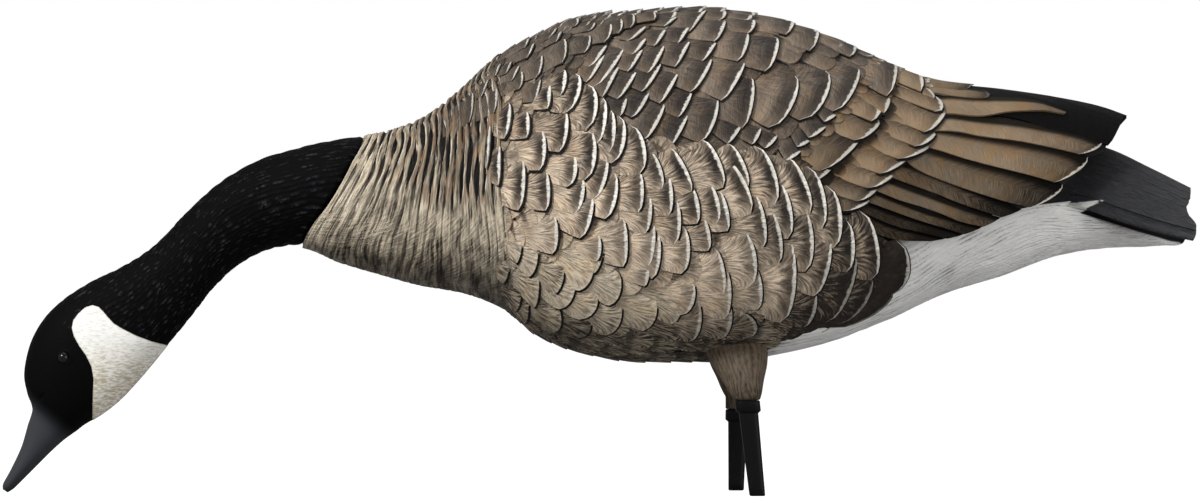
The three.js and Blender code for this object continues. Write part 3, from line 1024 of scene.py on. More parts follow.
class Graph:
    """A node tree that is filled by short calls, each of which gives back the socket of its result."""

    def __init__(self, tree: Tree) -> None:
        """Works on a tree."""
        self.tree = tree

    def node(self, kind: str, *values: object, **settings: object) -> Node:
        """Adds a node of a kind, feeds its first inputs and sets its options.

        Args:
            kind: the node's type.
            values: what its first inputs take, in order.
            settings: its options, by name.

        Returns:
            The node.
        """
        made = self.tree.nodes.new(kind)
        for key, value in settings.items():
            setattr(made, key, value)
        for socket, value in zip(made.inputs, values):
            self.feed(socket, value)
        return made

    def feed(self, socket: Socket, value: object) -> None:
        """Links a socket to another, or gives it a constant.

        Args:
            socket: the input.
            value: a socket, a number, a colour or a vector.
        """
        if isinstance(value, Socket):
            self.tree.links.new(value, socket)
        elif isinstance(value, tuple) and len(value) == 3 and socket.type == "RGBA":
            socket.default_value = (*value, 1.0)
        else:
            socket.default_value = value

    def feed_named(self, node: Node, **values: object) -> Node:
        """Feeds inputs by their names, with an underscore for each space.

        Args:
            node: the node whose inputs they are.
            values: what they take, by name.

        Returns:
            The same node.
        """
        for key, value in values.items():
            self.feed(node.inputs[key.replace("_", " ")], value)
        return node

    def sum(self, operation: str, *values: object, clamp: bool = False) -> Socket:
        """A sum of up to three numbers."""
        return self.node("ShaderNodeMath", *values, operation=operation, use_clamp=clamp).outputs[0]

    plus = partialmethod(sum, "ADD")
    less = partialmethod(sum, "SUBTRACT")
    times = partialmethod(sum, "MULTIPLY")
    times_plus = partialmethod(sum, "MULTIPLY_ADD")

    def blend(self, factor: object, a: object, b: object, mode: str = "MIX") -> Socket:
        """Two colours mixed.

        Args:
            factor: share of the second colour.
            a: the first colour.
            b: the second.
            mode: how they are mixed.

        Returns:
            The mixed colour.
        """
        made = self.node("ShaderNodeMix", data_type="RGBA", blend_type=mode)
        for k, value in ((0, factor), (6, a), (7, b)):
            self.feed(made.inputs[k], value)
        return made.outputs[2]

    def span(self, value: object, low: object, high: object, to_low: object = 0.0,
             to_high: object = 1.0) -> Socket:
        """A number brought smoothly from one range to another, and kept inside it."""
        return self.node("ShaderNodeMapRange", value, low, high, to_low, to_high,
                         interpolation_type="SMOOTHSTEP").outputs[0]

    def vector(self, x: object, y: object, z: object) -> Socket:
        """Three numbers as a vector."""
        return self.node("ShaderNodeCombineXYZ", x, y, z).outputs[0]

    def parts(self, vector: Socket) -> tuple:
        """The three numbers of a vector."""
        return tuple(self.node("ShaderNodeSeparateXYZ", vector).outputs)

    def noise(self, vector: object, scale: float, detail: float = 2.0, rough: float = 0.5) -> Socket:
        """Cloudy noise from 0 to 1."""
        made = self.node("ShaderNodeTexNoise")
        return self.feed_named(made, Vector=vector, Scale=scale, Detail=detail, Roughness=rough).outputs[0]

    def attribute(self, name: str) -> Socket:
        """The vector that the piece's points carry under a name."""
        return self.node("ShaderNodeAttribute", attribute_name=name).outputs["Vector"]

    def place(self, stretch: tuple = (1.0, 1.0, 1.0)) -> Socket:
        """Object coordinates, stretched."""
        at = self.node("ShaderNodeTexCoord").outputs["Object"]
        return self.feed_named(self.node("ShaderNodeMapping", at), Scale=stretch).outputs[0]

    def group(self, tree: Tree, **values: object) -> Node:
        """Places a node group, with a value for each named input."""
        return self.feed_named(self.node("ShaderNodeGroup", node_tree=tree), **values)


def new_group(name: str, inputs: dict, outputs: tuple) -> tuple:
    """An empty node group.

    Args:
        name: its name.
        inputs: each input's default by its name: a number, a colour, or None for a vector.
        outputs: the outputs' names. One called Colour is a colour, and any other a number.

    Returns:
        The tree, its graph, its inputs' inner sockets by name, and the node that takes the outputs.
    """
    tree = bpy.data.node_groups.new(name, "ShaderNodeTree")
    for label, default in inputs.items():
        kind = "Vector" if default is None else "Color" if isinstance(default, tuple) else "Float"
        socket = tree.interface.new_socket(label, in_out="INPUT", socket_type=f"NodeSocket{kind}")
        if default is not None:
            socket.default_value = default
    for label in outputs:
        kind = "Color" if label == "Colour" else "Float"
        tree.interface.new_socket(label, in_out="OUTPUT", socket_type=f"NodeSocket{kind}")
    graph = Graph(tree)
    given = graph.node("NodeGroupInput").outputs
    return tree, graph, given, graph.node("NodeGroupOutput")


def weathering_group() -> Tree:
    """Paint that has been handled: broad mottling, fine speckle and a little dust.

    The colour is multiplied by cloudy noise at two sizes, turned to a cooler or a warmer brown by two
    more, and pale dust is laid over it where a last noise is high.

    Returns:
        The group's tree.
    """
    tree, g, given, end = new_group(
        "weathering", {"Colour": (0.5, 0.5, 0.5, 1), "Mottling": 0.2, "Dust": 0.1, "Hue": 0.0},
        ("Colour", "Speckle"))
    broad = g.noise(g.place(), 42.0, 3.0, 0.6)
    fine = g.noise(g.place(), 900.0, 2.0, 0.6)
    both = g.plus(g.times(broad, 0.65), g.times(fine, 0.35))
    shade = g.times_plus(g.less(both, 0.5), g.times(given["Mottling"], 2.0), 1.0)
    colour = g.blend(1.0, given["Colour"], g.vector(shade, shade, shade), "MULTIPLY")
    for stretch, scale, tint in ((1.0, 60.0, (1.22, 0.98, 0.66)), (1.3, 75.0, (0.86, 1.0, 1.16))):
        patch = g.span(g.noise(g.place((stretch, 1.0, 1.0)), scale, 3.0, 0.6), 0.44, 0.76)
        tinted = g.blend(1.0, colour, tint, "MULTIPLY")
        colour = g.blend(g.times(patch, given["Hue"]), colour, tinted)
    veil = g.times(g.span(g.noise(g.place(), 120.0, 4.0, 0.7), 0.5, 0.8), given["Dust"])
    g.feed_named(end, Colour=g.blend(veil, colour, (0.62, 0.57, 0.5)), Speckle=fine)
    return tree


def strokes_group() -> Tree:
    """Brush strokes along the barbs of a feather, from 0 to 1.

    Noise is stretched along lines of equal value of back + slant * |across|, which run outwards and to
    the tip; where fan is 1 the lines run from the root to the tip instead.

    Returns:
        The group's tree.
    """
    tree, g, given, end = new_group(
        "barb_strokes", {"Plume": None, "Slant": 6.0, "Fineness": 0.9, "Fan": 0.0}, ("Strokes",))
    across, back, seed = g.parts(given["Plume"])
    out = g.sum("ABSOLUTE", across)
    line = g.times_plus(out, given["Slant"], back)
    shift = g.times(seed, 91.7)
    barbs = g.noise(g.vector(g.times(line, given["Fineness"]), g.times(out, 0.8), shift), 1.6, 3.0, 0.65)
    fanned = g.times(across, g.times_plus(back, 0.35, 4.6))
    spokes = g.noise(g.vector(fanned, g.times(back, 0.07), shift), 1.6, 3.0, 0.65)
    mixed = g.plus(g.times(barbs, g.less(1.0, given["Fan"])), g.times(spokes, given["Fan"]))
    g.feed_named(end, Strokes=g.span(mixed, 0.3, 0.7))
    return tree


def plume_group() -> Tree:
    """Colour of a painted feather, from its root to its tip.

    The ground runs from dark to light with the tone, a dark band lies behind the tip and fades to the
    root along the strokes, painted shadow darkens the part under the feathers ahead and the dark rims,
    and the pale edge is laid over the tip in a broken line.

    Returns:
        The group's tree.
    """
    black, white = (0, 0, 0, 1), (1, 1, 1, 1)
    tree, g, given, end = new_group(
        "plume_paint",
        {"Plume": None, "Tint": None, "Hidden": None, "Strokes": 0.5, "Shadowing": 0.8, "Dark": black,
         "Light": white, "Band": black, "Edge": white, "Shadow": black, "Band reach": 8.0, "Edge width": 1.6,
         "Edge softness": 0.4, "Stroke depth": 0.5, "Side shade": 0.12},
        ("Colour", "Edge"))
    across, back, seed = g.parts(given["Plume"])
    tone, band, edge = g.parts(given["Tint"])
    own = g.less(g.times(g.less(seed, 0.5), 0.3), g.times(across, given["Side shade"]))
    stroke = g.times(g.less(given["Strokes"], 0.5), given["Stroke depth"])
    share = g.plus(g.plus(tone, own), stroke, clamp=True)
    ground = g.blend(share, given["Dark"], given["Light"])
    behind = g.less(back, given["Edge width"])
    reach = g.times(given["Band reach"], g.times_plus(stroke, -0.7, 1.0))
    fade = g.span(behind, g.times(reach, 0.25), g.times(reach, 1.25), 1.0, 0.0)
    sides = g.sum("POWER", g.sum("ABSOLUTE", across), 2.5)
    fade = g.times(fade, g.times_plus(sides, -0.7, 1.0))
    ground = g.blend(g.times(fade, band, clamp=True), ground, given["Band"])
    # Painted shadow on the part under the feathers ahead, and on the dark rims
    under, rim, _ = g.parts(given["Hidden"])
    shadowing = g.times(g.span(under, 0.72, 0.98), g.span(under, 1.15, 1.4, 1.0, 0.0))
    shadowing = g.sum("MAXIMUM", g.times(shadowing, given["Shadowing"]), rim)
    ground = g.blend(shadowing, ground, given["Shadow"])
    ragged = g.noise(g.vector(g.times(across, 5.0), g.times(seed, 53.0), 0.0), 1.3, 2.0)
    width = g.times(given["Edge width"], g.times_plus(ragged, 1.2, 0.4))
    width = g.times(width, g.times_plus(g.sum("POWER", across, 2.0), -1.0, 1.02))
    soft = g.times(width, given["Edge softness"])
    line = g.span(back, g.less(width, soft), g.plus(width, soft), 1.0, 0.0)
    line = g.times(g.times(line, edge), g.times_plus(given["Strokes"], 0.5, 0.62), clamp=True)
    g.feed_named(end, Colour=g.blend(line, ground, given["Edge"]), Edge=line)
    return tree


class Workshop:
    """The node groups that the finishes share, built once."""

    def __init__(self) -> None:
        """Builds every group."""
        self.weathering = weathering_group()
        self.strokes = strokes_group()
        self.plume = plume_group()


def new_material(name: str) -> tuple:
    """An empty material, the graph to fill it by, and its shader.

    Args:
        name: its name.

    Returns:
        The material, its graph and its shader.
    """
    material = bpy.data.materials.new(name)
    material.use_nodes = True
    return material, Graph(material.node_tree), material.node_tree.nodes["Principled BSDF"]


def srgb(r: int, g: int, b: int) -> tuple:
    """A paint colour read off as 0 to 255, in the linear scale that the shader takes."""
    shares = (v / 255 for v in (r, g, b))
    return tuple(v / 12.92 if v <= 0.04045 else ((v + 0.055) / 1.055) ** 2.4 for v in shares)


class Finish:
    """Worn paint with some relief. Each kind tells its own colour and height. Colours run from 0 to 255."""

    gloss: float = 0.2
    roughness: float = 0.6
    speckle: float = 0.1        # what the paint's speckle adds to the roughness
    mottling: float = 0.2
    dust: float = 0.0
    bump: float = 0.5           # strength of the relief
    depth: float = 0.0005       # and its depth, in metres

    def blend(self, g: Graph, share: object, first: object, *names: str) -> Socket:
        """Mixes the finish's own colours, given by name, or one of them over a colour."""
        ends = [srgb(*getattr(self, part)) if isinstance(part, str) else part for part in (first, *names)]
        return g.blend(share, *ends)

    def paint(self, g: Graph, shop: Workshop) -> tuple:
        """Colour, height, roughness and hue, as each kind of finish gives them.

        Args:
            g: the material's graph.
            shop: the shared node groups.

        Returns:
            Colour, height and roughness, each a socket or a number, and how far the hue wanders.
        """
        raise NotImplementedError

    def material(self, shop: Workshop) -> Material:
        """The finish as a material: its paint is worn by the weathering group, and its height is a bump.

        Args:
            shop: the shared node groups.

        Returns:
            The material.
        """
        material, g, shader = new_material(self.name)
        colour, height, rough, hue = self.paint(g, shop)
        worn = g.group(shop.weathering, Colour=colour, Mottling=self.mottling, Dust=self.dust, Hue=hue)
        if self.speckle:
            rough = g.times_plus(worn.outputs["Speckle"], self.speckle, rough)
        bump = g.feed_named(g.node("ShaderNodeBump"), Strength=self.bump, Distance=self.depth, Height=height)
        g.feed_named(shader, Base_Color=worn.outputs["Colour"], Roughness=rough,
                     Specular_IOR_Level=self.gloss, Normal=bump.outputs["Normal"])
        return material


@dataclass(frozen=True)
class PlumeFinish(Finish):
    """Paint of one kind of feather. Lengths are in millimetres."""

    name: str
    dark: tuple
    light: tuple
    band: tuple
    edge: tuple
    shadow: tuple = (24, 20, 18)
    band_reach: float = 8.0
    edge_width: float = 1.7
    edge_softness: float = 0.3
    stroke_depth: float = 0.55
    # how strongly painted shadow covers the part under the feathers ahead
    shadowing: float = 0.85
    side_shade: float = 0.12    # how much darker the upper side is than the shaft
    slant: float = 6.0
    fineness: float = 0.9
    fan: float = 0.0
    hue: float = 0.5
    gloss: float = 0.2
    roughness: float = 0.62
    mottling: float = 0.35
    dust: float = 0.06
    bump: float = 0.8
    depth: float = 0.0007

    def paint(self, g: Graph, shop: Workshop) -> tuple:
        """Colour, height, roughness and hue, from the feathers' own attributes.

        Args:
            g: the material's graph.
            shop: the shared node groups.

        Returns:
            Colour, height and roughness, each a socket or a number, and how far the hue wanders.
        """
        own = {name: g.attribute(name.lower()) for name in ("Plume", "Tint", "Hidden")}
        own["Strokes"] = g.group(shop.strokes, Plume=own["Plume"], Slant=self.slant, Fineness=self.fineness,
                                 Fan=self.fan).outputs["Strokes"]
        own |= {name.capitalize(): srgb(*getattr(self, name))
                for name in ("dark", "light", "band", "edge", "shadow")}
        own |= {name.capitalize(): getattr(self, name) for name in (
            "shadowing", "band_reach", "edge_width", "edge_softness", "stroke_depth", "side_shade")}
        colour, edge = g.group(shop.plume, **own).outputs
        height = g.times_plus(edge, 0.3, own["Strokes"])
        rough = g.times_plus(edge, -0.12, self.roughness)
        return colour, height, rough, g.times_plus(edge, -self.hue, self.hue)


# Plumage

SHOULDER = Tract(
    name="shoulder_feathers", base=Base.OUTER, rows=10, seed=12,
    lines=(
        (0, (488, 62, 480, 76, 476, 90, 472, 106)),
        (10, (628, 0, 618, 22, 606, 48, 586, 82)),
    ),
    widths=(8.5, 11.5),
    cut=FeatherCut(columns=6, rise=1.7, sink=1.1, crown=0.6, roundness=0.55, lap=1.9, fall=0.6),
    jitter=0.12,
    drawn=(
        (488, 79, 487, 88, 483, 95), (472, 92, 474, 107, 471, 120), (495, 85, 498, 97, 495, 111),
        (501, 63, 500, 69, 497, 75), (511, 61, 511, 67, 507, 73), (519, 65, 518, 72, 513, 80),
        (520, 71, 524, 80, 520, 88), (533, 43, 533, 50, 528, 57), (529, 38, 529, 42, 526, 47),
        (540, 56, 543, 66, 537, 77), (563, 41, 567, 52, 563, 64), (561, 33, 561, 38, 557, 44),
        (556, 29, 555, 35, 550, 40), (575, 19, 579, 23, 576, 27), (588, 37, 591, 45, 585, 55),
        (593, 24, 595, 28, 589, 33), (608, 24, 612, 33, 605, 44), (619, 20, 623, 26, 619, 35),
        (630, 14, 635, 20, 631, 29), (652, 12, 656, 16, 654, 21), (540, 79, 540, 90, 535, 101),
    ),
    notes=((480, 90, 0.3, 0.5, 0.9), (560, 50, 0.35, 0.6, 0.95), (600, 30, 0.3, 0.7, 0.95)),
)
MANTLE = Tract(
    name="mantle_feathers", base=Base.WING, rows=11, seed=13,
    lines=(
        (0, (628, 0, 618, 22, 606, 48, 586, 84)),
        (1, (644, 0, 634, 20, 621, 51, 603, 96)),
        (2, (664, 0, 654, 18, 643, 45, 619, 112)),
        (3, (684, 0, 675, 15, 662, 50, 634, 124)),
        (4, (706, 0, 700, 15, 687, 46, 674, 84, 662, 109, 644, 140)),
        (5, (729, 0, 723, 15, 718, 38, 707, 68, 692, 91, 685, 117, 669, 150)),
        (6, (757, 2, 752, 18, 747, 38, 743, 66, 733, 82, 718, 105, 702, 146)),
        (7, (790, 6, 786, 21, 780, 38, 772, 56, 762, 74, 750, 95, 744, 117, 729, 148)),
        (8, (816, 14, 816, 30, 808, 50, 797, 76, 788, 101, 773, 125, 752, 152)),
        (9, (846, 26, 846, 43, 838, 60, 828, 78, 820, 96, 802, 120, 774, 155)),
        (10, (874, 40, 874, 56, 864, 76, 852, 95, 836, 116, 812, 138, 790, 160)),
    ),
    widths=(15.0, 22.0),
    cut=FeatherCut(rise=2.5, sink=1.4, crown=0.8, roundness=0.5, lap=1.8, fall=0.6, root=0.7),
    drawn=(
        (645, 27, 641, 36, 629, 43), (606, 47, 602, 59, 591, 69), (604, 56, 599, 71, 588, 83),
        (622, 49, 618, 65, 596, 87), (619, 68, 614, 82, 604, 97), (645, 40, 642, 50, 633, 57),
        (642, 51, 638, 63, 629, 73), (636, 72, 631, 86, 619, 99), (626, 99, 626, 108, 621, 116),
        (663, 47, 660, 61, 648, 75), (660, 65, 655, 80, 643, 92), (648, 93, 644, 107, 633, 117),
        (676, 17, 673, 23, 665, 28), (665, 31, 662, 41, 655, 48), (689, 28, 686, 37, 679, 45),
        (689, 43, 686, 54, 676, 68), (677, 75, 673, 88, 661, 103), (663, 104, 660, 121, 644, 139),
        (705, 9, 701, 19, 691, 32), (723, 21, 724, 31, 715, 43), (715, 44, 712, 54, 703, 63),
        (710, 60, 706, 77, 692, 92), (691, 93, 688, 106, 679, 117), (687, 115, 683, 129, 671, 145),
        (751, 19, 755, 26, 748, 35), (745, 33, 748, 46, 738, 62), (743, 64, 739, 81, 723, 100),
        (715, 99, 718, 114, 701, 140), (774, 38, 778, 51, 766, 72), (750, 79, 754, 97, 743, 126),
        (741, 125, 738, 133, 728, 143), (791, 20, 794, 27, 786, 35), (813, 28, 820, 37, 810, 51),
        (851, 42, 857, 49, 849, 57), (890, 60, 899, 77, 887, 97), (792, 76, 797, 97, 771, 126),
        (822, 70, 831, 88, 802, 119), (854, 66, 859, 83, 835, 111), (760, 129, 759, 136, 752, 144),
        (776, 136, 774, 142, 765, 148), (835, 116, 832, 120, 824, 123), (825, 127, 819, 134, 809, 138),
        (809, 141, 805, 145, 797, 147), (800, 151, 796, 156, 786, 160), (722, 10, 726, 15, 721, 19),
    ),
    notes=(
        (600, 60, 0.35, 0.7, 1), (690, 90, 0.28, 0.8, 1), (760, 60, 0.35, 0.75, 1),
        (800, 90, 0.4, 0.85, 1), (850, 60, 0.4, 0.8, 0.9), (800, 140, 0.4, 0.7, 1),
    ),
)
COVERTS = Tract(
    name="wing_coverts", base=Base.WING, rows=3, seed=14,
    lines=(
        (0, (886, 40, 886, 60, 872, 84, 856, 106, 834, 130, 806, 158, 797, 168)),
        (1, (905, 48, 905, 68, 897, 84, 890, 100, 874, 124, 849, 147, 819, 180)),
        (2, (930, 60, 930, 80, 934, 96, 940, 110, 938, 124, 925, 145, 904, 160, 875, 184,
             849, 212)),
    ),
    widths=(11.5, 10.5),
    cut=FeatherCut(columns=6, rise=2.5, sink=1.2, crown=0.7, roundness=0.7, lap=1.6, fall=0.4, stretch=1.5,
                   rim=1.3, tilt=1.0, stem=24.0),
    heading=(-6, -24),
    jitter=0.03,
    drawn=(
        (888, 101, 887, 108, 884, 113), (880, 103, 880, 113, 873, 120), (876, 124, 872, 134, 859, 139),
        (855, 141, 847, 154, 827, 166), (830, 168, 826, 175, 818, 178), (918, 70, 923, 79, 920, 88),
        (925, 89, 931, 93, 932, 99), (931, 97, 942, 105, 936, 112), (942, 114, 939, 125, 928, 131),
        (932, 135, 929, 142, 918, 146), (925, 148, 918, 155, 903, 158), (903, 161, 896, 169, 884, 172),
        (890, 175, 885, 182, 872, 186), (874, 189, 870, 196, 860, 199), (866, 201, 861, 205, 848, 209),
    ),
    notes=((890, 80, 0.5, 0.4, 1), (930, 110, 0.55, 0.35, 1), (850, 180, 0.35, 0.6, 1),
           (880, 150, 0.6, 0.35, 1)),
)
FLANK = Tract(
    name="flank_feathers", base=Base.OUTER, rows=23, seed=15, front=478.0,
    lines=(
        (0, (516, 80, 509, 120, 507, 160, 510, 205, 516, 245)),
        (5, (566, 70, 575, 100, 578, 130, 578, 170, 575, 210, 572, 245)),
        (8, (628, 122, 641, 150, 643, 180, 638, 215, 628, 258)),
        (12, (702, 143, 716, 160, 722, 185, 720, 224, 724, 270, 718, 300)),
        (16, (776, 154, 796, 172, 804, 200, 800, 240, 792, 272, 778, 322)),
        (18, (824, 184, 836, 206, 837, 235, 838, 262, 826, 292, 806, 330)),
        (20, (856, 214, 866, 230, 868, 252, 863, 277, 850, 299, 834, 324)),
        (22, (872, 228, 892, 246, 895, 266, 885, 286, 868, 303, 850, 318)),
    ),
    widths=(19.0, 30.0),
    cut=FeatherCut(rise=2.9, sink=1.4, crown=0.8, roundness=0.85, lap=1.8, grooves=5, groove_depth=0.25,
                   fall=0.45, rim=1.2, root=0.4, tilt=0.5, underside=0.42),
    jitter=0.1,
    drawn=(
        (490, 125, 491, 145, 488, 166), (500, 147, 502, 165, 500, 183), (509, 104, 512, 121, 506, 137),
        (527, 113, 531, 125, 528, 137), (550, 86, 552, 97, 549, 108), (563, 73, 567, 83, 562, 95),
        (575, 77, 582, 88, 568, 111), (565, 113, 569, 131, 561, 150), (541, 131, 547, 149, 541, 168),
        (588, 88, 598, 105, 588, 127), (603, 101, 607, 119, 599, 141), (611, 113, 616, 131, 611, 149),
        (619, 119, 626, 138, 614, 160), (631, 128, 646, 150, 640, 171), (588, 131, 597, 152, 587, 177),
        (572, 155, 578, 169, 569, 185), (581, 176, 585, 193, 576, 211), (546, 173, 551, 191, 547, 208),
        (522, 160, 526, 185, 520, 207), (605, 157, 608, 175, 595, 197), (614, 175, 618, 194, 607, 216),
        (639, 173, 644, 192, 639, 210), (651, 154, 662, 170, 662, 186), (667, 176, 673, 194, 669, 213),
        (675, 201, 681, 221, 675, 241), (649, 197, 652, 213, 646, 231), (554, 217, 559, 234, 554, 251),
        (591, 193, 593, 214, 582, 235), (598, 236, 602, 247, 597, 259), (623, 220, 628, 241, 624, 263),
        (653, 224, 655, 244, 649, 263), (657, 234, 661, 252, 653, 275), (648, 265, 649, 275, 645, 284),
        (671, 150, 688, 172, 691, 188), (691, 188, 699, 204, 697, 221), (682, 227, 690, 247, 682, 270),
        (703, 142, 720, 162, 722, 184), (707, 184, 719, 202, 716, 221), (719, 192, 728, 211, 727, 228),
        (703, 219, 710, 233, 708, 248), (730, 146, 743, 162, 747, 183), (724, 161, 745, 182, 749, 210),
        (756, 149, 775, 173, 773, 202), (754, 196, 765, 219, 762, 245), (778, 184, 791, 208, 787, 235),
        (769, 211, 781, 235, 777, 261), (788, 160, 806, 183, 808, 209), (803, 211, 813, 239, 804, 268),
        (809, 170, 824, 195, 820, 225), (828, 189, 841, 215, 832, 244), (828, 237, 829, 263, 814, 292),
        (814, 293, 815, 308, 804, 325), (847, 222, 854, 243, 845, 268), (853, 253, 852, 284, 826, 320),
        (787, 239, 796, 278, 781, 318), (715, 250, 725, 273, 721, 293), (725, 270, 731, 292, 724, 315),
        (741, 231, 756, 256, 748, 284), (755, 269, 762, 288, 757, 306), (862, 213, 879, 238, 869, 276),
        (869, 276, 864, 302, 840, 322), (899, 240, 910, 263, 888, 293), (888, 290, 879, 310, 835, 326),
        (691, 283, 694, 300, 682, 312), (697, 303, 701, 322, 690, 340), (728, 304, 731, 322, 721, 337),
        (738, 314, 756, 322, 745, 338),
    ),
    # Lower tones at the bottom are painted shade
    notes=(
        (500, 130, 0.5, 1, 0.9), (560, 100, 0.45, 1, 1), (600, 200, 0.72, 0.9, 1),
        (550, 230, 0.82, 0.3, 0.7), (620, 250, 0.8, 0.6, 0.8), (700, 180, 0.65, 1, 1),
        (700, 270, 0.75, 0.6, 0.8), (790, 190, 0.55, 1, 1), (790, 270, 0.66, 0.8, 0.9),
        (590, 130, 0.48, 1, 1), (530, 190, 0.65, 1, 0.9),
        (860, 240, 0.2, 0.9, 1), (905, 260, -0.4, 1.0, 0.8), (880, 305, -0.4, 1.0, 0.0),
        (840, 320, 0.1, 0.5, 0.5), (725, 300, 0.6, 0.3, 0.5), (730, 335, 0.3, 0.3, 0.3),
    ),
)
BELLY = Tract(
    name="belly_feathers", base=Base.BODY, rows=13, seed=16,
    lines=(
        (0, (524, 240, 516, 280, 504, 330)),
        (4, (598, 238, 586, 286, 565, 362)),
        (8, (700, 262, 690, 308, 668, 380)),
        (11, (768, 285, 758, 322, 736, 380)),
        (12, (800, 300, 790, 330, 768, 372)),
    ),
    widths=(17.0, 22.0),
    cut=FeatherCut(columns=16, rise=2.1, sink=1.0, crown=1.0, roundness=0.9, grooves=7, groove_depth=0.6,
                   lap=1.75, fall=0.3, rim=1.3, root=0.45, underside=0.38),
    drawn=(
        (536, 249, 538, 263, 529, 275), (562, 267, 564, 280, 553, 293), (571, 280, 575, 293, 557, 307),
        (593, 293, 597, 306, 576, 317), (590, 249, 595, 270, 577, 288), (617, 274, 623, 287, 607, 303),
        (618, 305, 621, 320, 603, 334), (653, 300, 658, 312, 641, 329), (677, 292, 682, 308, 670, 322),
        (538, 277, 541, 290, 535, 306), (558, 311, 562, 323, 553, 331), (588, 321, 589, 332, 576, 338),
        (508, 262, 510, 272, 503, 282), (520, 290, 522, 300, 514, 310), (602, 238, 603, 256, 594, 271),
        (528, 302, 530, 312, 525, 323), (678, 322, 681, 331, 674, 340), (521, 243, 522, 253, 517, 262),
    ),
    heading=(-18, -38),
    jitter=0.1,
    # Lower tones towards the bottom are painted shade
    notes=((540, 270, 0.75, 0.1, 0.4), (640, 290, 0.75, 0.15, 0.5), (640, 350, 0.55, 0.1, 0.0),
           (740, 310, 0.6, 0.15, 0.3), (740, 345, 0.45, 0.1, 0.0), (515, 312, 0.3, 0.1, 0.0),
           (580, 340, 0.45, 0.1, 0.0), (500, 280, 0.4, 0.1, 0.1), (585, 300, 0.75, 0.1, 0.5)),
)

# Each tract with its paint, whose four colours are the dark and the light ground, the band and the edge
PLUMAGE = (
    (SHOULDER, PlumeFinish("shoulder_paint", (48, 42, 39), (154, 138, 120), (34, 30, 29),
                           (234, 228, 217), edge_width=1.3, stroke_depth=0.4)),
    (MANTLE, PlumeFinish("mantle_paint", (50, 45, 43), (174, 154, 133), (32, 29, 29), (240, 234, 224),
                         band_reach=13.0, edge_width=2.1, stroke_depth=0.6, fineness=1.8, fan=0.4,
                         side_shade=0.2, hue=0.6)),
    (COVERTS, PlumeFinish("covert_paint", (44, 38, 34), (170, 145, 116), (34, 30, 28), (238, 232, 220),
                          band_reach=9.0, edge_width=2.6, slant=8.0, fineness=1.9, stroke_depth=0.5,
                          side_shade=0.5, hue=0.6)),
    (FLANK, PlumeFinish("flank_paint", (50, 43, 37), (230, 208, 182), (34, 28, 25), (246, 241, 231),
                        shadow=(18, 14, 13), band_reach=9.5, edge_width=2.3, fan=0.9, fineness=1.6,
                        stroke_depth=0.8, shadowing=0.7, hue=0.3)),
    (BELLY, PlumeFinish("belly_paint", (50, 42, 34), (220, 203, 178), (54, 44, 35), (230, 220, 200),
                        shadow=(16, 13, 11), band_reach=5.0, edge_width=2.0, edge_softness=0.9, fan=1.0,
                        stroke_depth=0.95, shadowing=0.6, hue=0.3)),
)


def add_slab(solid: Solid, point_at: object, top: object, bottom: object, grid: tuple,
             **values: object) -> None:
    """Adds a closed plate: an upper and a lower sheet over the same two shares, joined round the rim.

    Args:
        solid: what it is added to.
        point_at: gives the points for shares along and across and a height.
        top: gives the upper sheet's height for both shares.
        bottom: gives the lower sheet's.
        grid: steps along and across.
        values: functions of both shares that give what the points carry, by attribute name.
    """
    s, t = np.meshgrid(np.linspace(0, 1, grid[0] + 1), np.linspace(0, 1, grid[1] + 1), indexing="ij")
    upper, lower = point_at(s, t, top(s, t)), point_at(s, t, bottom(s, t))
    rings = np.concatenate([upper, lower[:, ::-1]], axis=1)
    carried = {}
    for name, value in values.items():
        sheet = value(s, t)
        carried[name] = np.concatenate([sheet, sheet[:, ::-1]], axis=1)
    tube(solid, rings, **carried)


@dataclass(frozen=True)
class LongFeather:
    """A long wing feather, drawn in the side view by its upper and its lower edge, from root to tip."""

    upper: tuple
    lower: tuple
    tones: tuple                # at the upper edge and at the lower; a darker upper edge is painted shade from the feather over it
    edge: float = 0.0           # strength of the pale line at the tip
    layer: float = 0.0          # in millimetres, over the wing
    rise: float = 2.2           # in millimetres, of the lower edge over the upper
    corner: float = 0.01        # how far the tip's corners stand back, as a share of the length
    black: float = 0.0          # share of black paint over the rest


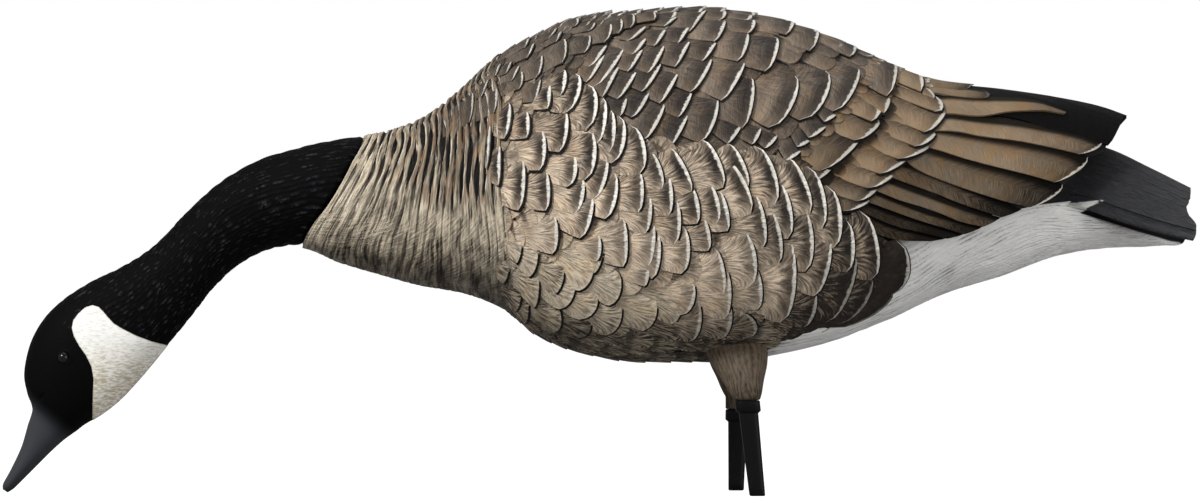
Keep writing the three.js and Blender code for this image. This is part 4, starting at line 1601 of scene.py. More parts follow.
class FoldedWings:
    """The cape of both folded wings over the back, and the long feathers that end them."""

    feathers = (
        LongFeather((930, 40, 1035, 55, 1131, 92), (950, 112, 1010, 118, 1060, 134, 1112, 147),
                    (-0.6, -0.6), layer=-0.2, rise=0.6, corner=0.03, black=1.0),
        LongFeather((914, 45, 945, 57, 976, 70), (930, 88, 950, 90, 972, 92),
                    (0.4, 0.5), edge=0.3, layer=1.0, rise=0.8, corner=0.25),
        LongFeather((925, 80, 950, 84, 988, 90), (929, 93, 960, 98, 990, 101),
                    (0.35, 0.55), edge=0.1, layer=0.8, rise=0.8, corner=0.2),
        LongFeather((935, 92, 985, 96, 1030, 99, 1064, 111),
                    (941, 114, 977, 118, 1012, 113, 1040, 112, 1066, 116),
                    (0.6, 0.85), layer=0.6, rise=1.4, corner=0.03),
        LongFeather((935, 112, 977, 118, 1012, 121, 1048, 127, 1078, 133, 1107, 144),
                    (931, 132, 957, 134, 977, 138, 1017, 143, 1048, 149, 1083, 157),
                    (0.4, 0.75), edge=1.0, corner=0.05),
        LongFeather((925, 126, 957, 130, 1000, 136, 1048, 144, 1076, 151, 1093, 162),
                    (929, 149, 962, 160, 997, 169, 1030, 177, 1058, 185),
                    (0.2, 0.62), edge=1.0, corner=0.05),
        LongFeather((910, 142, 960, 155, 1000, 165, 1040, 175, 1068, 188),
                    (904, 161, 916, 171, 947, 184, 977, 194, 1007, 203, 1034, 209),
                    (0.15, 0.55), edge=1.0, corner=0.05),
        LongFeather((885, 156, 930, 172, 970, 188, 1022, 210),
                    (880, 174, 900, 182, 936, 195, 956, 203, 977, 210, 1001, 218), (0.15, 0.5)),
        LongFeather((870, 172, 905, 185, 950, 202, 1001, 218),
                    (868, 188, 900, 201, 917, 206, 940, 214, 960, 222, 983, 227), (0.1, 0.42)),
        LongFeather((864, 186, 896, 200, 935, 214, 983, 227),
                    (862, 200, 900, 214, 920, 221, 940, 227, 964, 234), (0.05, 0.36)),
        LongFeather((858, 198, 890, 211, 925, 222, 964, 234),
                    (855, 209, 883, 221, 900, 227, 913, 230, 946, 238), (0.0, 0.28)),
        LongFeather((860, 208, 885, 221, 915, 230, 946, 238), (856, 218, 877, 233, 904, 239, 930, 240),
                    (-0.1, 0.15)),
    )
    across = 100                # steps of the cape from one lower edge to the other
    along = 60

    def cape(self, material: Material) -> Piece:
        """The smooth base under the wings' feathers, with a nearly flat underside.

        Args:
            material: the finish.

        Returns:
            The piece.
        """
        w = np.abs(np.linspace(-1, 1, self.across + 1))
        side = np.sign(np.linspace(-1, 1, self.across + 1) + 1e-9)
        share, end = np.array(WING_END, float).T
        last = curve_at(share, grid_x(end), w) - 7 * MM
        first = grid_x(WING_ROWS[0][0]) + 2 * MM
        s = np.linspace(0, 1, self.along + 1)[:, None]
        x = mix(first, last, s)
        a = mix(math.pi / 2, wing_edge_angle(x), w)
        p, normal = settle(WING.point(x, a), Base.WING)
        p = p - normal * (0.9 * MM + 5 * MM * smooth(0.05, 0, s))[..., None]
        p[..., 1] *= -side * np.sign(p[..., 1] + 1e-12)     # from the left side's edge to the right side's
        t = np.linspace(0, 1, 42)[1:-1][:, None]
        under = mix(p[:, -1:], p[:, :1], t) + np.array([0, 0, 1]) * np.sin(t * math.pi) * 6 * MM
        return skin("wing_cape", material, np.concatenate([p, under], axis=1))

    def long_feathers(self, material: Material) -> Piece:
        """The long feathers of both wings, each a thin plate that lies on the cape and over the next one.

        Args:
            material: the finish.

        Returns:
            The piece.
        """
        solid = Solid()
        rng = np.random.default_rng(21)
        for side in (1, -1):
            for feather in self.feathers:
                self.add_long(solid, feather, side, float(rng.random()))
        return solid.piece("long_wing_feathers", material, 30.0)

    @staticmethod
    def add_long(solid: Solid, feather: LongFeather, side: int, seed: float) -> None:
        """Adds one long feather.

        A point at the shares s along and t across lies on the line between the two edges' points at s.
        Towards the corners s is a little less than at the middle, so that the tip is round.

        Args:
            solid: what it is added to.
            feather: how it is drawn and painted.
            side: 1 for the left wing, and -1 for its mirror image on the right.
            seed: from 0 to 1, tells its paint from the others'.
        """
        edges = [np.array(line, float).reshape(-1, 2) for line in (feather.upper, feather.lower)]
        runs = [running_length(edge) for edge in edges]
        length = (runs[0][-1] + runs[1][-1]) / 2 * VIEW.pixel

        def point_at(s: Array, t: Array, height: Array) -> Array:
            """Points of the feather at a height over the wing.

            Args:
                s: share along, from the root.
                t: share across.
                height: in millimetres.

            Returns:
                The points.
            """
            s = s * (1 - feather.corner * arc(2 * t - 1, 0.97))
            px, py = (mix(*(curve_at(run / run[-1], edge[:, k], s) for run, edge in zip(runs, edges)), t)
                      for k in (0, 1))
            x, a = WING.from_pixels(px, py)
            p, normal = settle(WING.point(x, a), Base.WING)
            p = p + normal * (height * MM)[..., None]
            return p * np.array([1, side, 1])

        sink = lambda s: 1.6 * smooth(0.12, 0, s)
        top = lambda s, t: feather.layer + feather.rise * t**1.4 + 0.5 * np.sin(math.pi * t) - sink(s)
        bottom = lambda s, t: top(s, t) - 1.5
        plume = lambda s, t: side_by_side(2 * t - 1, (1 - s) * length / MM, seed)
        tint = lambda s, t: side_by_side(mix(*feather.tones, t) - 0.3 * smooth(0.5, 1, s),
                                         0.5 * (feather.edge > 0), feather.edge)
        # Painted shadow along the upper edge, under the feather above; black paint takes the same dark colour
        hidden = lambda s, t: side_by_side(mix(1.1, 0.5, smooth(0, 0.75, t)), feather.black, 0 * s)
        add_slab(solid, point_at, top, bottom, (28, 10), plume=plume, tint=tint, hidden=hidden)


class Body:
    """The smooth body under the feathers: dull paint in front, and the white of the undertail behind."""

    around = 380
    front_rings = 30
    rear_rings = 190
    rear_start = 200.0          # grid place where the fine rings begin
    hairs = 17.0                # strands in a radian round the body
    hair_length = 24.0 * MM
    hair_depth = 0.9            # in millimetres, as the two below
    sunk = 3.2                  # of the skin where feathers cover it
    lip_depth = 2.4             # of the mouth's lip under the skin
    lean = 12.0                 # strands by which the hair drifts up between two grid places
    lean_from, lean_to = 234.0, 385.0

    def hair(self, p: Array, level: Array) -> tuple:
        """Carved hair that runs along the body: place across it in strands, the strand, and its cut.

        A strand falls evenly from its middle to its sides, and is higher in some places than in others.

        Args:
            p: the points.
            level: the widest level at each point.

        Returns:
            The place in strands, the strand from 0 to 1, and the cut.
        """
        across = np.arctan2(np.abs(p[..., 1]), p[..., 2] - level) * self.hairs
        flow = p[..., 0] / self.hair_length
        lean = self.lean * smooth(grid_x(self.lean_from), grid_x(self.lean_to), p[..., 0])
        across = across + lean + 1.6 * wander(flow * 1.1, across * 0.12, 3.0)
        strand = np.abs(np.mod(across, 1.0) * 2 - 1) * cloud(flow * 1.6, np.floor(across), 7.0)
        return across, strand, 1.5 * strand + 0.9 * cloud(across * 0.35, flow * 1.7, 5.0)

    def build(self, material: Material) -> Piece:
        """The body as one closed skin, with a lip in front, a round cap behind and hair in the white.

        Args:
            material: the finish.

        Returns:
            The piece.
        """
        a = round_angles(self.around)
        first, middle, end = seam_ring(a), grid_x(self.rear_start), grid_x(BODY_ROWS[-1][0])
        front = np.linspace(0, 1, self.front_rings, endpoint=False)[:, None]
        rear = np.linspace(0, 1, self.rear_rings)[:, None]
        x = np.concatenate([mix(first, middle, front), mix(middle, end, rear) + 0 * first])
        p = BODY.point(x, a + 0 * x)
        normal, level = BODY.normal(p), BODY.section(p[..., 0])[3]
        white = smooth(-3, 0, white_inside(p))
        across, strand, hair = self.hair(p, level)
        p = p - normal * ((self.sunk * (1 - white) + self.hair_depth * (hair * white)) * MM)[..., None]
        lip = p[0] - normal[0] * self.lip_depth * MM + np.array([1.5, 0, 0]) * MM
        deep = lip + np.array([11, 0, 0]) * MM
        turn = np.radians([30, 60, 85])[:, None, None]
        centre = side_by_side(p[-1, :, 0], 0, level[-1])
        cap = centre + (p[-1] - centre) * np.cos(turn) + np.array([6, 0, 0]) * MM * np.sin(turn)
        rings = np.concatenate([deep[None], lip[None], p, cap])
        white = np.concatenate([0 * white[:2], white, 0 * cap[..., 0]])
        across, strand = (np.concatenate([v[:2], v, v[-3:]]) for v in (across, strand))
        patches = cloud(rings[..., 0] / (30 * MM), rings[..., 2] / (13 * MM), 9.0)
        tail = smooth(1040, 1060, VIEW.pixels(rings)[0])
        return skin("body_skin", material, rings, zone=side_by_side(white, patches, strand),
                    flow=side_by_side(across, rings[..., 0] / MM, tail))


class Breast:
    """The front of the body: strands carved across the breast between the neck's seam and the flank."""

    around = 340
    rings = 250
    lanes = 21.0                # strands from the seam to the flank
    slit_length = 44.0 * MM
    slit_widths = (0.08, 0.44)  # half width in lanes, of the closed and of the open slits
    slit_depths = (0.5, 2.2)    # the same, in millimetres, as the two below
    fine_depth = 0.9            # of the fine furrows on the strands
    end_depth = 4.0             # how far the breast dips under the flank
    last = ((506, 40), (500, 62), (508, 92), (510, 120), (508, 160), (510, 200), (516, 240), (520, 275),
            (526, 330))
    # px, py, tone, how open the slits are, and the strength of the painted highlight beside them; the low
    # tones along the bottom are painted shade
    notes = (
        (360, 150, 1.0, 0.5, 0.9), (345, 200, 1.0, 0.3, 0.8), (325, 235, 0.85, 0.2, 0.4),
        (400, 150, 0.6, 0.7, 0.7), (430, 110, 0.2, 0.9, 1), (455, 80, 0.15, 0.9, 1),
        (450, 150, 0.2, 1, 1), (420, 160, 0.35, 0.9, 0.8), (440, 190, 0.42, 0.7, 0.6),
        (475, 130, 0.15, 1, 1), (475, 180, 0.36, 0.8, 0.8), (400, 205, 0.66, 0.3, 0.3),
        (440, 225, 0.85, 0.1, 0.1), (380, 238, 0.76, 0.15, 0.1), (480, 235, 0.85, 0.15, 0.2),
        (330, 256, 0.3, 0.3, 0), (400, 266, 0.22, 0.25, 0), (440, 273, 0.12, 0.2, 0),
        (480, 280, 0.15, 0.1, 0), (420, 252, 0.55, 0.15, 0), (365, 262, 0.2, 0.3, 0),
        (505, 130, 0.4, 0.8, 0.9), (505, 230, 0.75, 0.2, 0.3), (505, 290, 0.15, 0.1, 0),
        (470, 258, 0.6, 0.1, 0), (350, 243, 0.5, 0.2, 0),
    )

    def grid(self) -> tuple:
        """Points, share from the seam to the flank, and length round the ring.

        Returns:
            The points as rings, and both numbers at each point.
        """
        a = round_angles(self.around)
        x, angle = BODY.from_pixels(*np.array(self.last, float).T)
        order = np.argsort(angle)
        folded = np.arcsin(np.clip(np.sin(a), -1, 1))
        last = np.interp(folded, angle[order], x[order])
        s = np.linspace(0, 1, self.rings)[:, None]
        p = BODY.point(mix(seam_ring(a), last, s), a + 0 * s)
        step = np.linalg.norm(np.roll(p, -1, axis=1) - p, axis=-1)
        run = np.cumsum(step, axis=1) - step
        top = self.around // 4
        far = np.abs(run - run[:, top:top + 1])
        return p, s + 0 * p[..., 0], np.minimum(far, step.sum(axis=1, keepdims=True) - far)

    def slits(self, lane: Array, run: Array, wide: Array) -> tuple:
        """The slits between the strands.

        A slit lies at each whole number of lanes and opens and closes along its length like a lens. Its
        depth falls evenly from its middle to its sides.

        Args:
            lane: place across the strands, counted from the seam.
            run: length round the body from the middle of the back.
            wide: half width of an open slit, as a share of a lane.

        Returns:
            Depth from 0 to 1, distance from the slit's middle in lanes, and how open it is.
        """
        number = np.round(lane)
        turn = run / self.slit_length + 7 * hashed(number, 0 * number, 2.0)
        turn = turn + 0.5 * cloud(run / (30 * MM), number, 6.0)
        share = np.mod(turn, 1.0)
        opened = smooth(0, 0.4, share) * smooth(1.0, 0.6, share)
        opened = opened * (0.5 + 0.7 * hashed(number, np.floor(turn), 5.0))
        aside = lane - number
        half = np.maximum(wide * opened, 0.02)
        return np.clip(1 - np.abs(aside) / half, 0, 1) ** 0.6, aside, half

    def build(self, material: Material) -> Piece:
        """The breast as one closed skin that dips into the mouth of the body and under the flank.

        Args:
            material: the finish.

        Returns:
            The piece.
        """
        p, s, run = self.grid()
        # tone, how open the slits are, and the strength of the painted highlight beside them
        tone, wide, white = np.moveaxis(noted(p, self.notes, 60), -1, 0)
        lane = s * self.lanes + 0.7 * wander(run / (60 * MM), s * 4, 3.0)
        lane = lane + 0.4 * wander(run / (20 * MM), s * 14, 8.0)
        slit, aside, half = self.slits(lane, run, mix(*self.slit_widths, wide))
        tone = tone + 0.35 * wander(run / (26 * MM), np.round(s * self.lanes * 2), 9.0)
        fine = np.abs(np.mod(lane * 2 + cloud(run / (25 * MM), s * 8, 4.0), 1.0) * 2 - 1)
        fine = fine * cloud(run / (12 * MM), np.floor(lane * 2), 5.0)
        # The painted highlight lies just beside an open slit
        crest = smooth(0, 0.04, aside - half) * smooth(0.2, 0.1, aside - half) * smooth(0.05, 0.12, half)
        normal, aside = BODY.normal(p), np.abs(aside)
        end = smooth(0.95, 1.0, s)
        calm = mix(1, 0.35, smooth(0.55, 0.9, -normal[..., 2]))
        height = (0.4 - mix(*self.slit_depths, wide) * slit + 0.4 * np.sqrt(aside) * mix(0.3, 1, wide)
                  - self.fine_depth * fine) * calm - self.end_depth * end - 0.6 * smooth(0.03, 0, s)
        outer = p + normal * (height * MM)[..., None]
        lip = outer[0] - normal[0] * 2.2 * MM + np.array([1.2, 0, 0]) * MM
        rings = np.concatenate([lip[None] + np.array([10, 0, 0]) * MM, lip[None], outer])
        carried = {"zone": side_by_side(slit, tone, wide), "strand": side_by_side(lane, run / MM, 0),
                   "crest": side_by_side(crest * white * (1 - end), fine, 2 * aside)}
        carried = {name: np.concatenate([part[:1], part[:1], part]) for name, part in carried.items()}
        return skin("breast_pleats", material, rings, 60.0, **carried)


class Tail:
    """The tail fan: long feathers over an arched plate, and the white that reaches over its root."""

    count = 14
    first = 376.0               # grid place of the roots
    length = 90.0               # of a feather, in millimetres
    bow = 2.5                   # grid units by which a tip's corners stand back
    overlap = 1.5               # width over the distance between neighbours
    plate = (3.2, 1.8)          # thickness at the root and at the tip, in millimetres
    # how far the fan reaches: share from the middle to the side, grid place
    end = ((0, 494.5), (0.4, 491), (0.64, 486.5), (0.84, 493.5), (1, 490))

    @staticmethod
    def place(x: Array, side: Array, height: Array) -> Array:
        """Point of the fan. From the ridge it falls to the sides with the 1.7th power of the distance.

        Args:
            x: place along the goose.
            side: share from the ridge to the side, below nought on the left.
            height: height over the fan, in metres.

        Returns:
            The points.
        """
        ridge, half, droop = (table_at(TAIL_ROWS, k, x) for k in (1, 2, 3))
        y = half * side
        z = ridge - droop * np.abs(side) ** 1.7
        slope = -droop * 1.7 * np.abs(side) ** 0.7 * np.sign(side) / half
        lean = 1 / np.sqrt(1 + slope**2)
        return side_by_side(x, y - slope * lean * height, z + lean * height)

    def build(self, material: Material) -> Piece:
        """All the tail's feathers as one piece.

        Args:
            material: the finish.

        Returns:
            The piece.
        """
        solid = Solid()
        rng = np.random.default_rng(31)
        share, end = np.array(self.end, float).T
        for k in range(self.count):
            middle = (k + 0.5) / self.count * 2 - 1
            half = self.overlap / self.count
            seed = float(rng.random())

            def point_at(s: Array, t: Array, height: Array) -> Array:
                """Points of one feather at a height over the fan.

                Args:
                    s: share along, from the root.
                    t: share across.
                    height: in millimetres.

                Returns:
                    The points.
                """
                side = np.clip(middle + half * (2 * t - 1), -1, 1)
                last = curve_at(share, end, np.abs(side)) - self.bow * arc(2 * t - 1, 0.97)
                p = self.place(grid_x(mix(self.first, last, s)), side, height * MM)
                lift = smooth(-0.4, 0.4, white_inside(p)) * MM
                return p + side_by_side(0 * lift, np.sign(side) * lift, 0)

            outward = lambda t: 1 - t if middle < 0 else t
            proud = 2.0 if abs(middle) > 0.7 else 0.5
            top = lambda s, t: 0.3 + proud * outward(t) + 0.25 * np.sin(math.pi * t)
            bottom = lambda s, t: top(s, t) - mix(*self.plate, s)
            plume = lambda s, t: side_by_side(2 * t - 1, (1 - s) * self.length, seed)
            white = lambda s, t: side_by_side(white_inside(point_at(s, t, top(s, t))), 0, 0)
            add_slab(solid, point_at, top, bottom, (26, 8), plume=plume, tint=white)
        return solid.piece("tail_feathers", material, 30.0)


class HeadAndNeck:
    """The lowered neck and head: rounded rings between the crown's outline and the throat's."""

    around = 300
    along = 300
    # shares of the rings, and the rows of the table that they reach
    spacing = ((0, 0.5, 0.78, 1), (0, 10, 13.5, 20))
    fullness = 2.1
    ridges = 62                 # strands round the neck
    ridge_height = 1.3          # in millimetres
    cheek = ((92.5, 305), (85, 307.5), (78.5, 313.5), (73.5, 320), (72, 328), (74, 336), (79.5, 346),
             (86, 355), (91.7, 366.5), (93.8, 379), (93.3, 392), (93, 404), (92.5, 440), (190, 440),
             (190, 351), (165, 344.8), (152, 341.5), (137, 336), (123, 329), (114, 323.5), (108, 317),
             (103.5, 311.5), (99, 307))
    eye = (65.4, 357.0)
    nostril = (41.8, 397.0)
    nostril_turn = 58.0         # degrees by which it slopes
    bill_line = ((27, 406), (45, 411), (60, 421), (82, 436))

    def __init__(self) -> None:
        """Places the rings on smooth curves through the rows, the finest of them round the eye.

        Between rows b and c, with a before them and d after, each figure is the cubic whose slope at b is
        that from a to c and at c that from b to d.
        """
        t = np.interp(np.linspace(0, 1, self.along), *self.spacing)
        rows = np.array(NECK_ROWS, float) * UNIT
        rows = np.concatenate([rows[:1], rows, rows[-1:]])
        i = np.clip(t.astype(int), 0, len(NECK_ROWS) - 2)
        f = (t - i)[:, None]
        a, b, c, d = (rows[i + k] for k in range(4))
        self.t = t
        self.line = (b + (c - a) / 2 * f + (a - 2.5 * b + 2 * c - d / 2) * f**2
                     + (-a / 2 + 1.5 * b - 1.5 * c + d / 2) * f**3)
        self.line[:, [0, 2]] += SHIFT

    def rings(self) -> tuple:
        """Points of the smooth neck, its outward directions and each point's angle.

        A ring's point at angle a is its centre plus the half axis to the crown times sin a and the half
        width times cos a, both with a power that makes the ring a little fuller than an ellipse.

        Returns:
            The points as rings, the directions, the angles and the rings' centres.
        """
        crown_x, crown_z, throat_x, throat_z, half = self.line.T
        centre = side_by_side(crown_x + throat_x, 0, crown_z + throat_z) / 2
        reach = side_by_side(crown_x - throat_x, 0, crown_z - throat_z) / 2
        a = round_angles(self.around)
        c, s = (np.sign(v) * np.abs(v) ** (2 / self.fullness) for v in (np.cos(a), np.sin(a)))
        p = centre[:, None] + reach[:, None] * s[None, :, None]
        p[..., 1] = -half[:, None] * c
        along = np.gradient(p, axis=0)
        around = np.roll(p, -1, axis=1) - np.roll(p, 1, axis=1)
        normal = unit_vectors(np.cross(along, around))
        flip = np.sign(np.einsum("ijk,ijk->ij", normal, p - centre[:, None]).mean())
        return p, normal * flip, a, centre

    def relief(self, p: Array, a: Array, centre: Array) -> tuple:
        """Height of the carving in millimetres, and of its strands from 0 to 1.

        The neck has rows of strands whose length shrinks towards the head. The eye sits in a low rim, the
        nostril is a short dent, and a faint step runs round the root of the bill.

        Args:
            p: the points of the rings.
            a: each point's angle.
            centre: the rings' centres.

        Returns:
            The height and the strands at each point.
        """
        px, py = VIEW.pixels(p)
        s = running_length(centre) / MM
        length = np.interp(s, [0, 60, 150, 260], [20, 14, 9, 7])
        steps = np.cumsum(np.gradient(s) / length)[:, None] + 0 * p[..., 0]
        lane = a / (2 * math.pi) * self.ridges + 1.5 * wander(steps * 0.8, a * 2.5 + 0 * steps, 4.0)
        number = np.floor(lane)
        dash = steps + 3 * hashed(np.mod(number, self.ridges), 0 * number, 7.0)
        dash = dash + 0.7 * cloud(steps * 0.6, np.mod(number, self.ridges), 9.0)
        strand = np.abs(np.sin(math.pi * (lane - number))) ** 0.8 * np.abs(np.sin(math.pi * dash)) ** 0.7
        strand = strand * (0.45 + 0.55 * hashed(np.mod(number, self.ridges), np.floor(dash), 3.0))
        fade = smooth(12.2, 7.5, self.t)[:, None] * np.interp(s, [0, 120], [1.0, 0.6])[:, None]
        height = self.ridge_height * (strand - 0.5) * fade * smooth(0, 5, -inside_outline(px, py, self.cheek))
        far = np.hypot(px - self.eye[0], py - self.eye[1])
        height += 0.5 * np.exp(-(((far - 5.8) / 1.5) ** 2)) - 0.5 * smooth(5.2, 3.8, far)
        turn = math.radians(self.nostril_turn)
        dx, dy = px - self.nostril[0], py - self.nostril[1]
        long, short = dx * math.cos(turn) - dy * math.sin(turn), dx * math.sin(turn) + dy * math.cos(turn)
        side = np.abs(np.cos(a)) > 0.3
        height -= 1.1 * np.exp(-((long / 3.6) ** 2) - (short / 1.5) ** 2) * side
        step = py - np.interp(px, *np.array(self.bill_line, float).T)
        height -= 0.35 * smooth(-1.5, 2.0, step) * smooth(13.0, 14.5, self.t)[:, None]
        height += 0.35 * smooth(-2, 2, inside_outline(px, py, self.cheek))
        return height, strand * smooth(0, 0.3, fade)

    def build(self, material: Material) -> Piece:
        """The head and neck as one closed skin, drawn in a little where it enters the breast.

        Args:
            material: the finish.

        Returns:
            The piece.
        """
        p, normal, a, centre = self.rings()
        px, py = VIEW.pixels(p)
        ahead = seam_at(p[..., 2]) - p[..., 0]
        sunk = 4.0 * smooth(2.5 * MM, -1.0 * MM, ahead)
        height, strand = self.relief(p, a, centre)
        p = p + normal * ((height - 0.3 - sunk) * MM)[..., None]
        cheek = inside_outline(px, py, self.cheek) * VIEW.pixel / MM
        bill = smooth(13.4, 15.5, self.t)[:, None] + 0 * cheek
        return skin("head_and_neck", material, p, 60.0, mark=side_by_side(cheek, bill, strand))


@dataclass(frozen=True)
class Eye:
    """A glossy bead in one side of the head."""

    node: str
    radius: float = 4.4 * MM

    def build(self, material: Material) -> Piece:
        """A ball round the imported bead's own middle, with its poles to the sides.

        Args:
            material: the finish.

        Returns:
            The piece.
        """
        low, high = (np.array(corner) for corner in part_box(self.node))
        middle = (low + high) / 2
        side = np.sign(middle[1])
        middle[1] = side * (np.abs([low[1], high[1]]).max() - self.radius)
        polar = np.linspace(0.02, math.pi - 0.02, 25)[:, None]
        turn = round_angles(48)
        ball = side_by_side(np.sin(polar) * np.cos(turn), np.cos(polar), np.sin(polar) * np.sin(turn))
        return skin(self.node.replace("eye_", "eye_bead_"), material, middle + ball * self.radius)


@dataclass(frozen=True)
class Leg:
    """A thigh tuft and the post in its end. Sizes are in grid units, or in millimetres where said."""

    name: str
    side: int
    foot_x: float
    top_x: float
    thigh_z: float
    flare_z: float = 79.5
    belly_x: float = 114.5
    belly_z: float = 111.0
    lean: float = 8.0           # in millimetres, as all below
    spacing: float = 104.0
    collar: tuple = (17.5, 14.0, 9.0)
    shank: tuple = (13.5, 10.5)
    foot: tuple = (11.0, 9.5)
    tuft: tuple = (42.0, 40.0)
    # shares of the way up from the flare's start to the belly, and of the growth to the tuft's size
    flare: tuple = ((0, 0.08, 0.26, 0.5, 0.75, 1, 1.3, 2), (0, 0.1, 0.27, 0.46, 0.7, 0.9, 1.05, 1.1))
    squareness: float = 4.0
    around: int = 120           # points round the tuft
    strands: int = 34

    @staticmethod
    def stack(x: Array, y: float, z: Array, size: tuple, power: Array, around: int) -> Array:
        """Rings of rounded rectangles over each other: |x / half| ^ power + |y / half| ^ power = 1.

        Args:
            x, y, z: each ring's middle.
            size: length and width of each ring.
            power: 2 gives an ellipse, and more gives squarer corners.
            around: points in a ring.

        Returns:
            The rings.
        """
        a = round_angles(around)
        px, py = (part[:, None] / 2 * np.sign(v) * np.abs(v) ** (2 / power)
                  for part, v in zip(size, (np.cos(a), np.sin(a))))
        return side_by_side(x[:, None] + px, y + py, z[:, None])

    def post(self, material: Material) -> Piece:
        """The post: a tapering shank with a chamfered collar, and the spigot that enters the thigh.

        Args:
            material: the finish.

        Returns:
            The piece.
        """
        top = self.thigh_z * UNIT / MM - 0.3
        under = top - self.collar[2]
        # height, the section there, and how much smaller it is
        sizes = [(height, size[0] - less, size[1] - less) for height, size, less in (
            (0.0, self.foot, 1.6), (0.25, self.foot, 0.7), (0.9, self.foot, 0), (under, self.shank, 0),
            (under + 0.2, self.shank, 0), (under + 1.7, self.collar, 0.5), (under + 2.2, self.collar, 0),
            (top - 0.6, self.collar, 0), (top, self.collar, 1.0), (top, self.shank, 0),
            (top + 8.0, self.shank, 0))]
        height, length, width = np.array(sizes).T
        fine = np.unique(np.concatenate([height, np.linspace(0.9, under, 12)]))
        fine = np.insert(fine, np.searchsorted(fine, top), top)
        length, width = (np.interp(fine, height, part) for part in (length, width))
        first = np.searchsorted(fine, top)
        length[first], width[first] = self.collar[0] - 1.0, self.collar[1] - 1.0
        length[first + 1], width[first + 1] = self.shank
        z = fine * MM
        x = mix(self.foot_x, self.top_x, z / (self.thigh_z * UNIT)) * UNIT + SHIFT
        rings = self.stack(x, self.side * self.spacing / 2 * MM, z, (length * MM, width * MM),
                           self.squareness, 40)
        return skin(f"leg_post_{self.name}", material, rings, 30.0)

    def thigh(self, material: Material) -> Piece:
        """The feathered tuft: flush with the collar below, flaring up into the belly, with carved hair.

        Args:
            material: the finish.

        Returns:
            The piece.
        """
        low = (self.thigh_z - self.flare_z) / (self.belly_z - self.flare_z)
        up = np.concatenate([[low], np.linspace(low + 0.02, 1.75, 64)])
        out = curve_at(*self.flare, up)
        x = mix(self.top_x, self.belly_x, np.maximum(up, 0)) * UNIT + SHIFT
        y = self.side * (self.spacing / 2 - self.lean * np.maximum(up, 0) ** 2) * MM
        z = mix(self.flare_z, self.belly_z, up) * UNIT
        power = mix(self.squareness, 2.2, np.clip(up * 2, 0, 1))
        size = (mix(self.collar[k], self.tuft[k], out) * MM for k in (0, 1))
        rings = self.stack(x, y[:, None], z, size, power[:, None], self.around)
        centre = side_by_side(x, y, z)[:, None]
        outward = unit_vectors(rings - centre)
        a, up = np.broadcast_arrays(round_angles(self.around), up[:, None])
        lane = a / (2 * math.pi) * self.strands + 0.9 * wander(up * 3, a * 3, self.side + 5.0)
        strand = np.abs(np.sin(math.pi * lane))
        depth = (0.2 + 0.5 * cloud(up * 6, np.floor(lane), 2.0)) * smooth(low, low + 0.2, up)
        rings = rings - outward * (depth * (1 - strand) * MM)[..., None]
        rings[0] = mix(centre[0], rings[0], 0.9)
        return skin(f"thigh_{self.name}", material, rings, zone=side_by_side(strand, up, a))


LEGS = (
    Leg("left", side=-1, foot_x=129.5, top_x=121.0, thigh_z=79.5),
    Leg("right", side=1, foot_x=114.5, top_x=116.0, thigh_z=69.0),
)


# Finishes of the smooth pieces

@dataclass(frozen=True)
class BodyFinish(Finish):
    """Dull brown under the feathers, and the greyish white of the undertail with grey painted shade in its
    furrows and in soft patches.
    """

    name: str = "body_paint"
    under: tuple = (42, 36, 32)
    black: tuple = (20, 20, 22)
    white: tuple = (255, 254, 251)
    # painted shade, deepest in the hair's furrows
    shade: tuple = (140, 140, 143)
    roughness: float = 0.55
    speckle: float = 0.12
    mottling: float = 0.1
    gloss: float = 0.25
    bump: float = 1.0
    depth: float = 0.0024

    def paint(self, g: Graph, shop: Workshop) -> tuple:
        """Colour and height, from the body's white share and its hair.

        Args:
            g: the material's graph.
            shop: the shared node groups.

        Returns:
            Colour, height and roughness, each a socket or a number, and how far the hue wanders.
        """
        white, cloudy, strand = g.parts(g.attribute("zone"))
        across, along, tail = g.parts(g.attribute("flow"))
        strands = g.noise(g.vector(g.times(across, 1.6), g.times(along, 0.06), 0.0), 1.0, 3.0, 0.65)
        # Painted shade: the grey deepens in the furrows of the hair and in soft patches
        share = g.times_plus(strand, 0.5, g.plus(g.times(cloudy, 0.3), g.times(strands, 0.8)))
        pale = self.blend(g, g.span(share, 0.66, 1.12), "white", "shade")
        under = self.blend(g, tail, "under", "black")
        return g.blend(g.span(white, 0.3, 0.7), under, pale), strands, self.roughness, 0.0


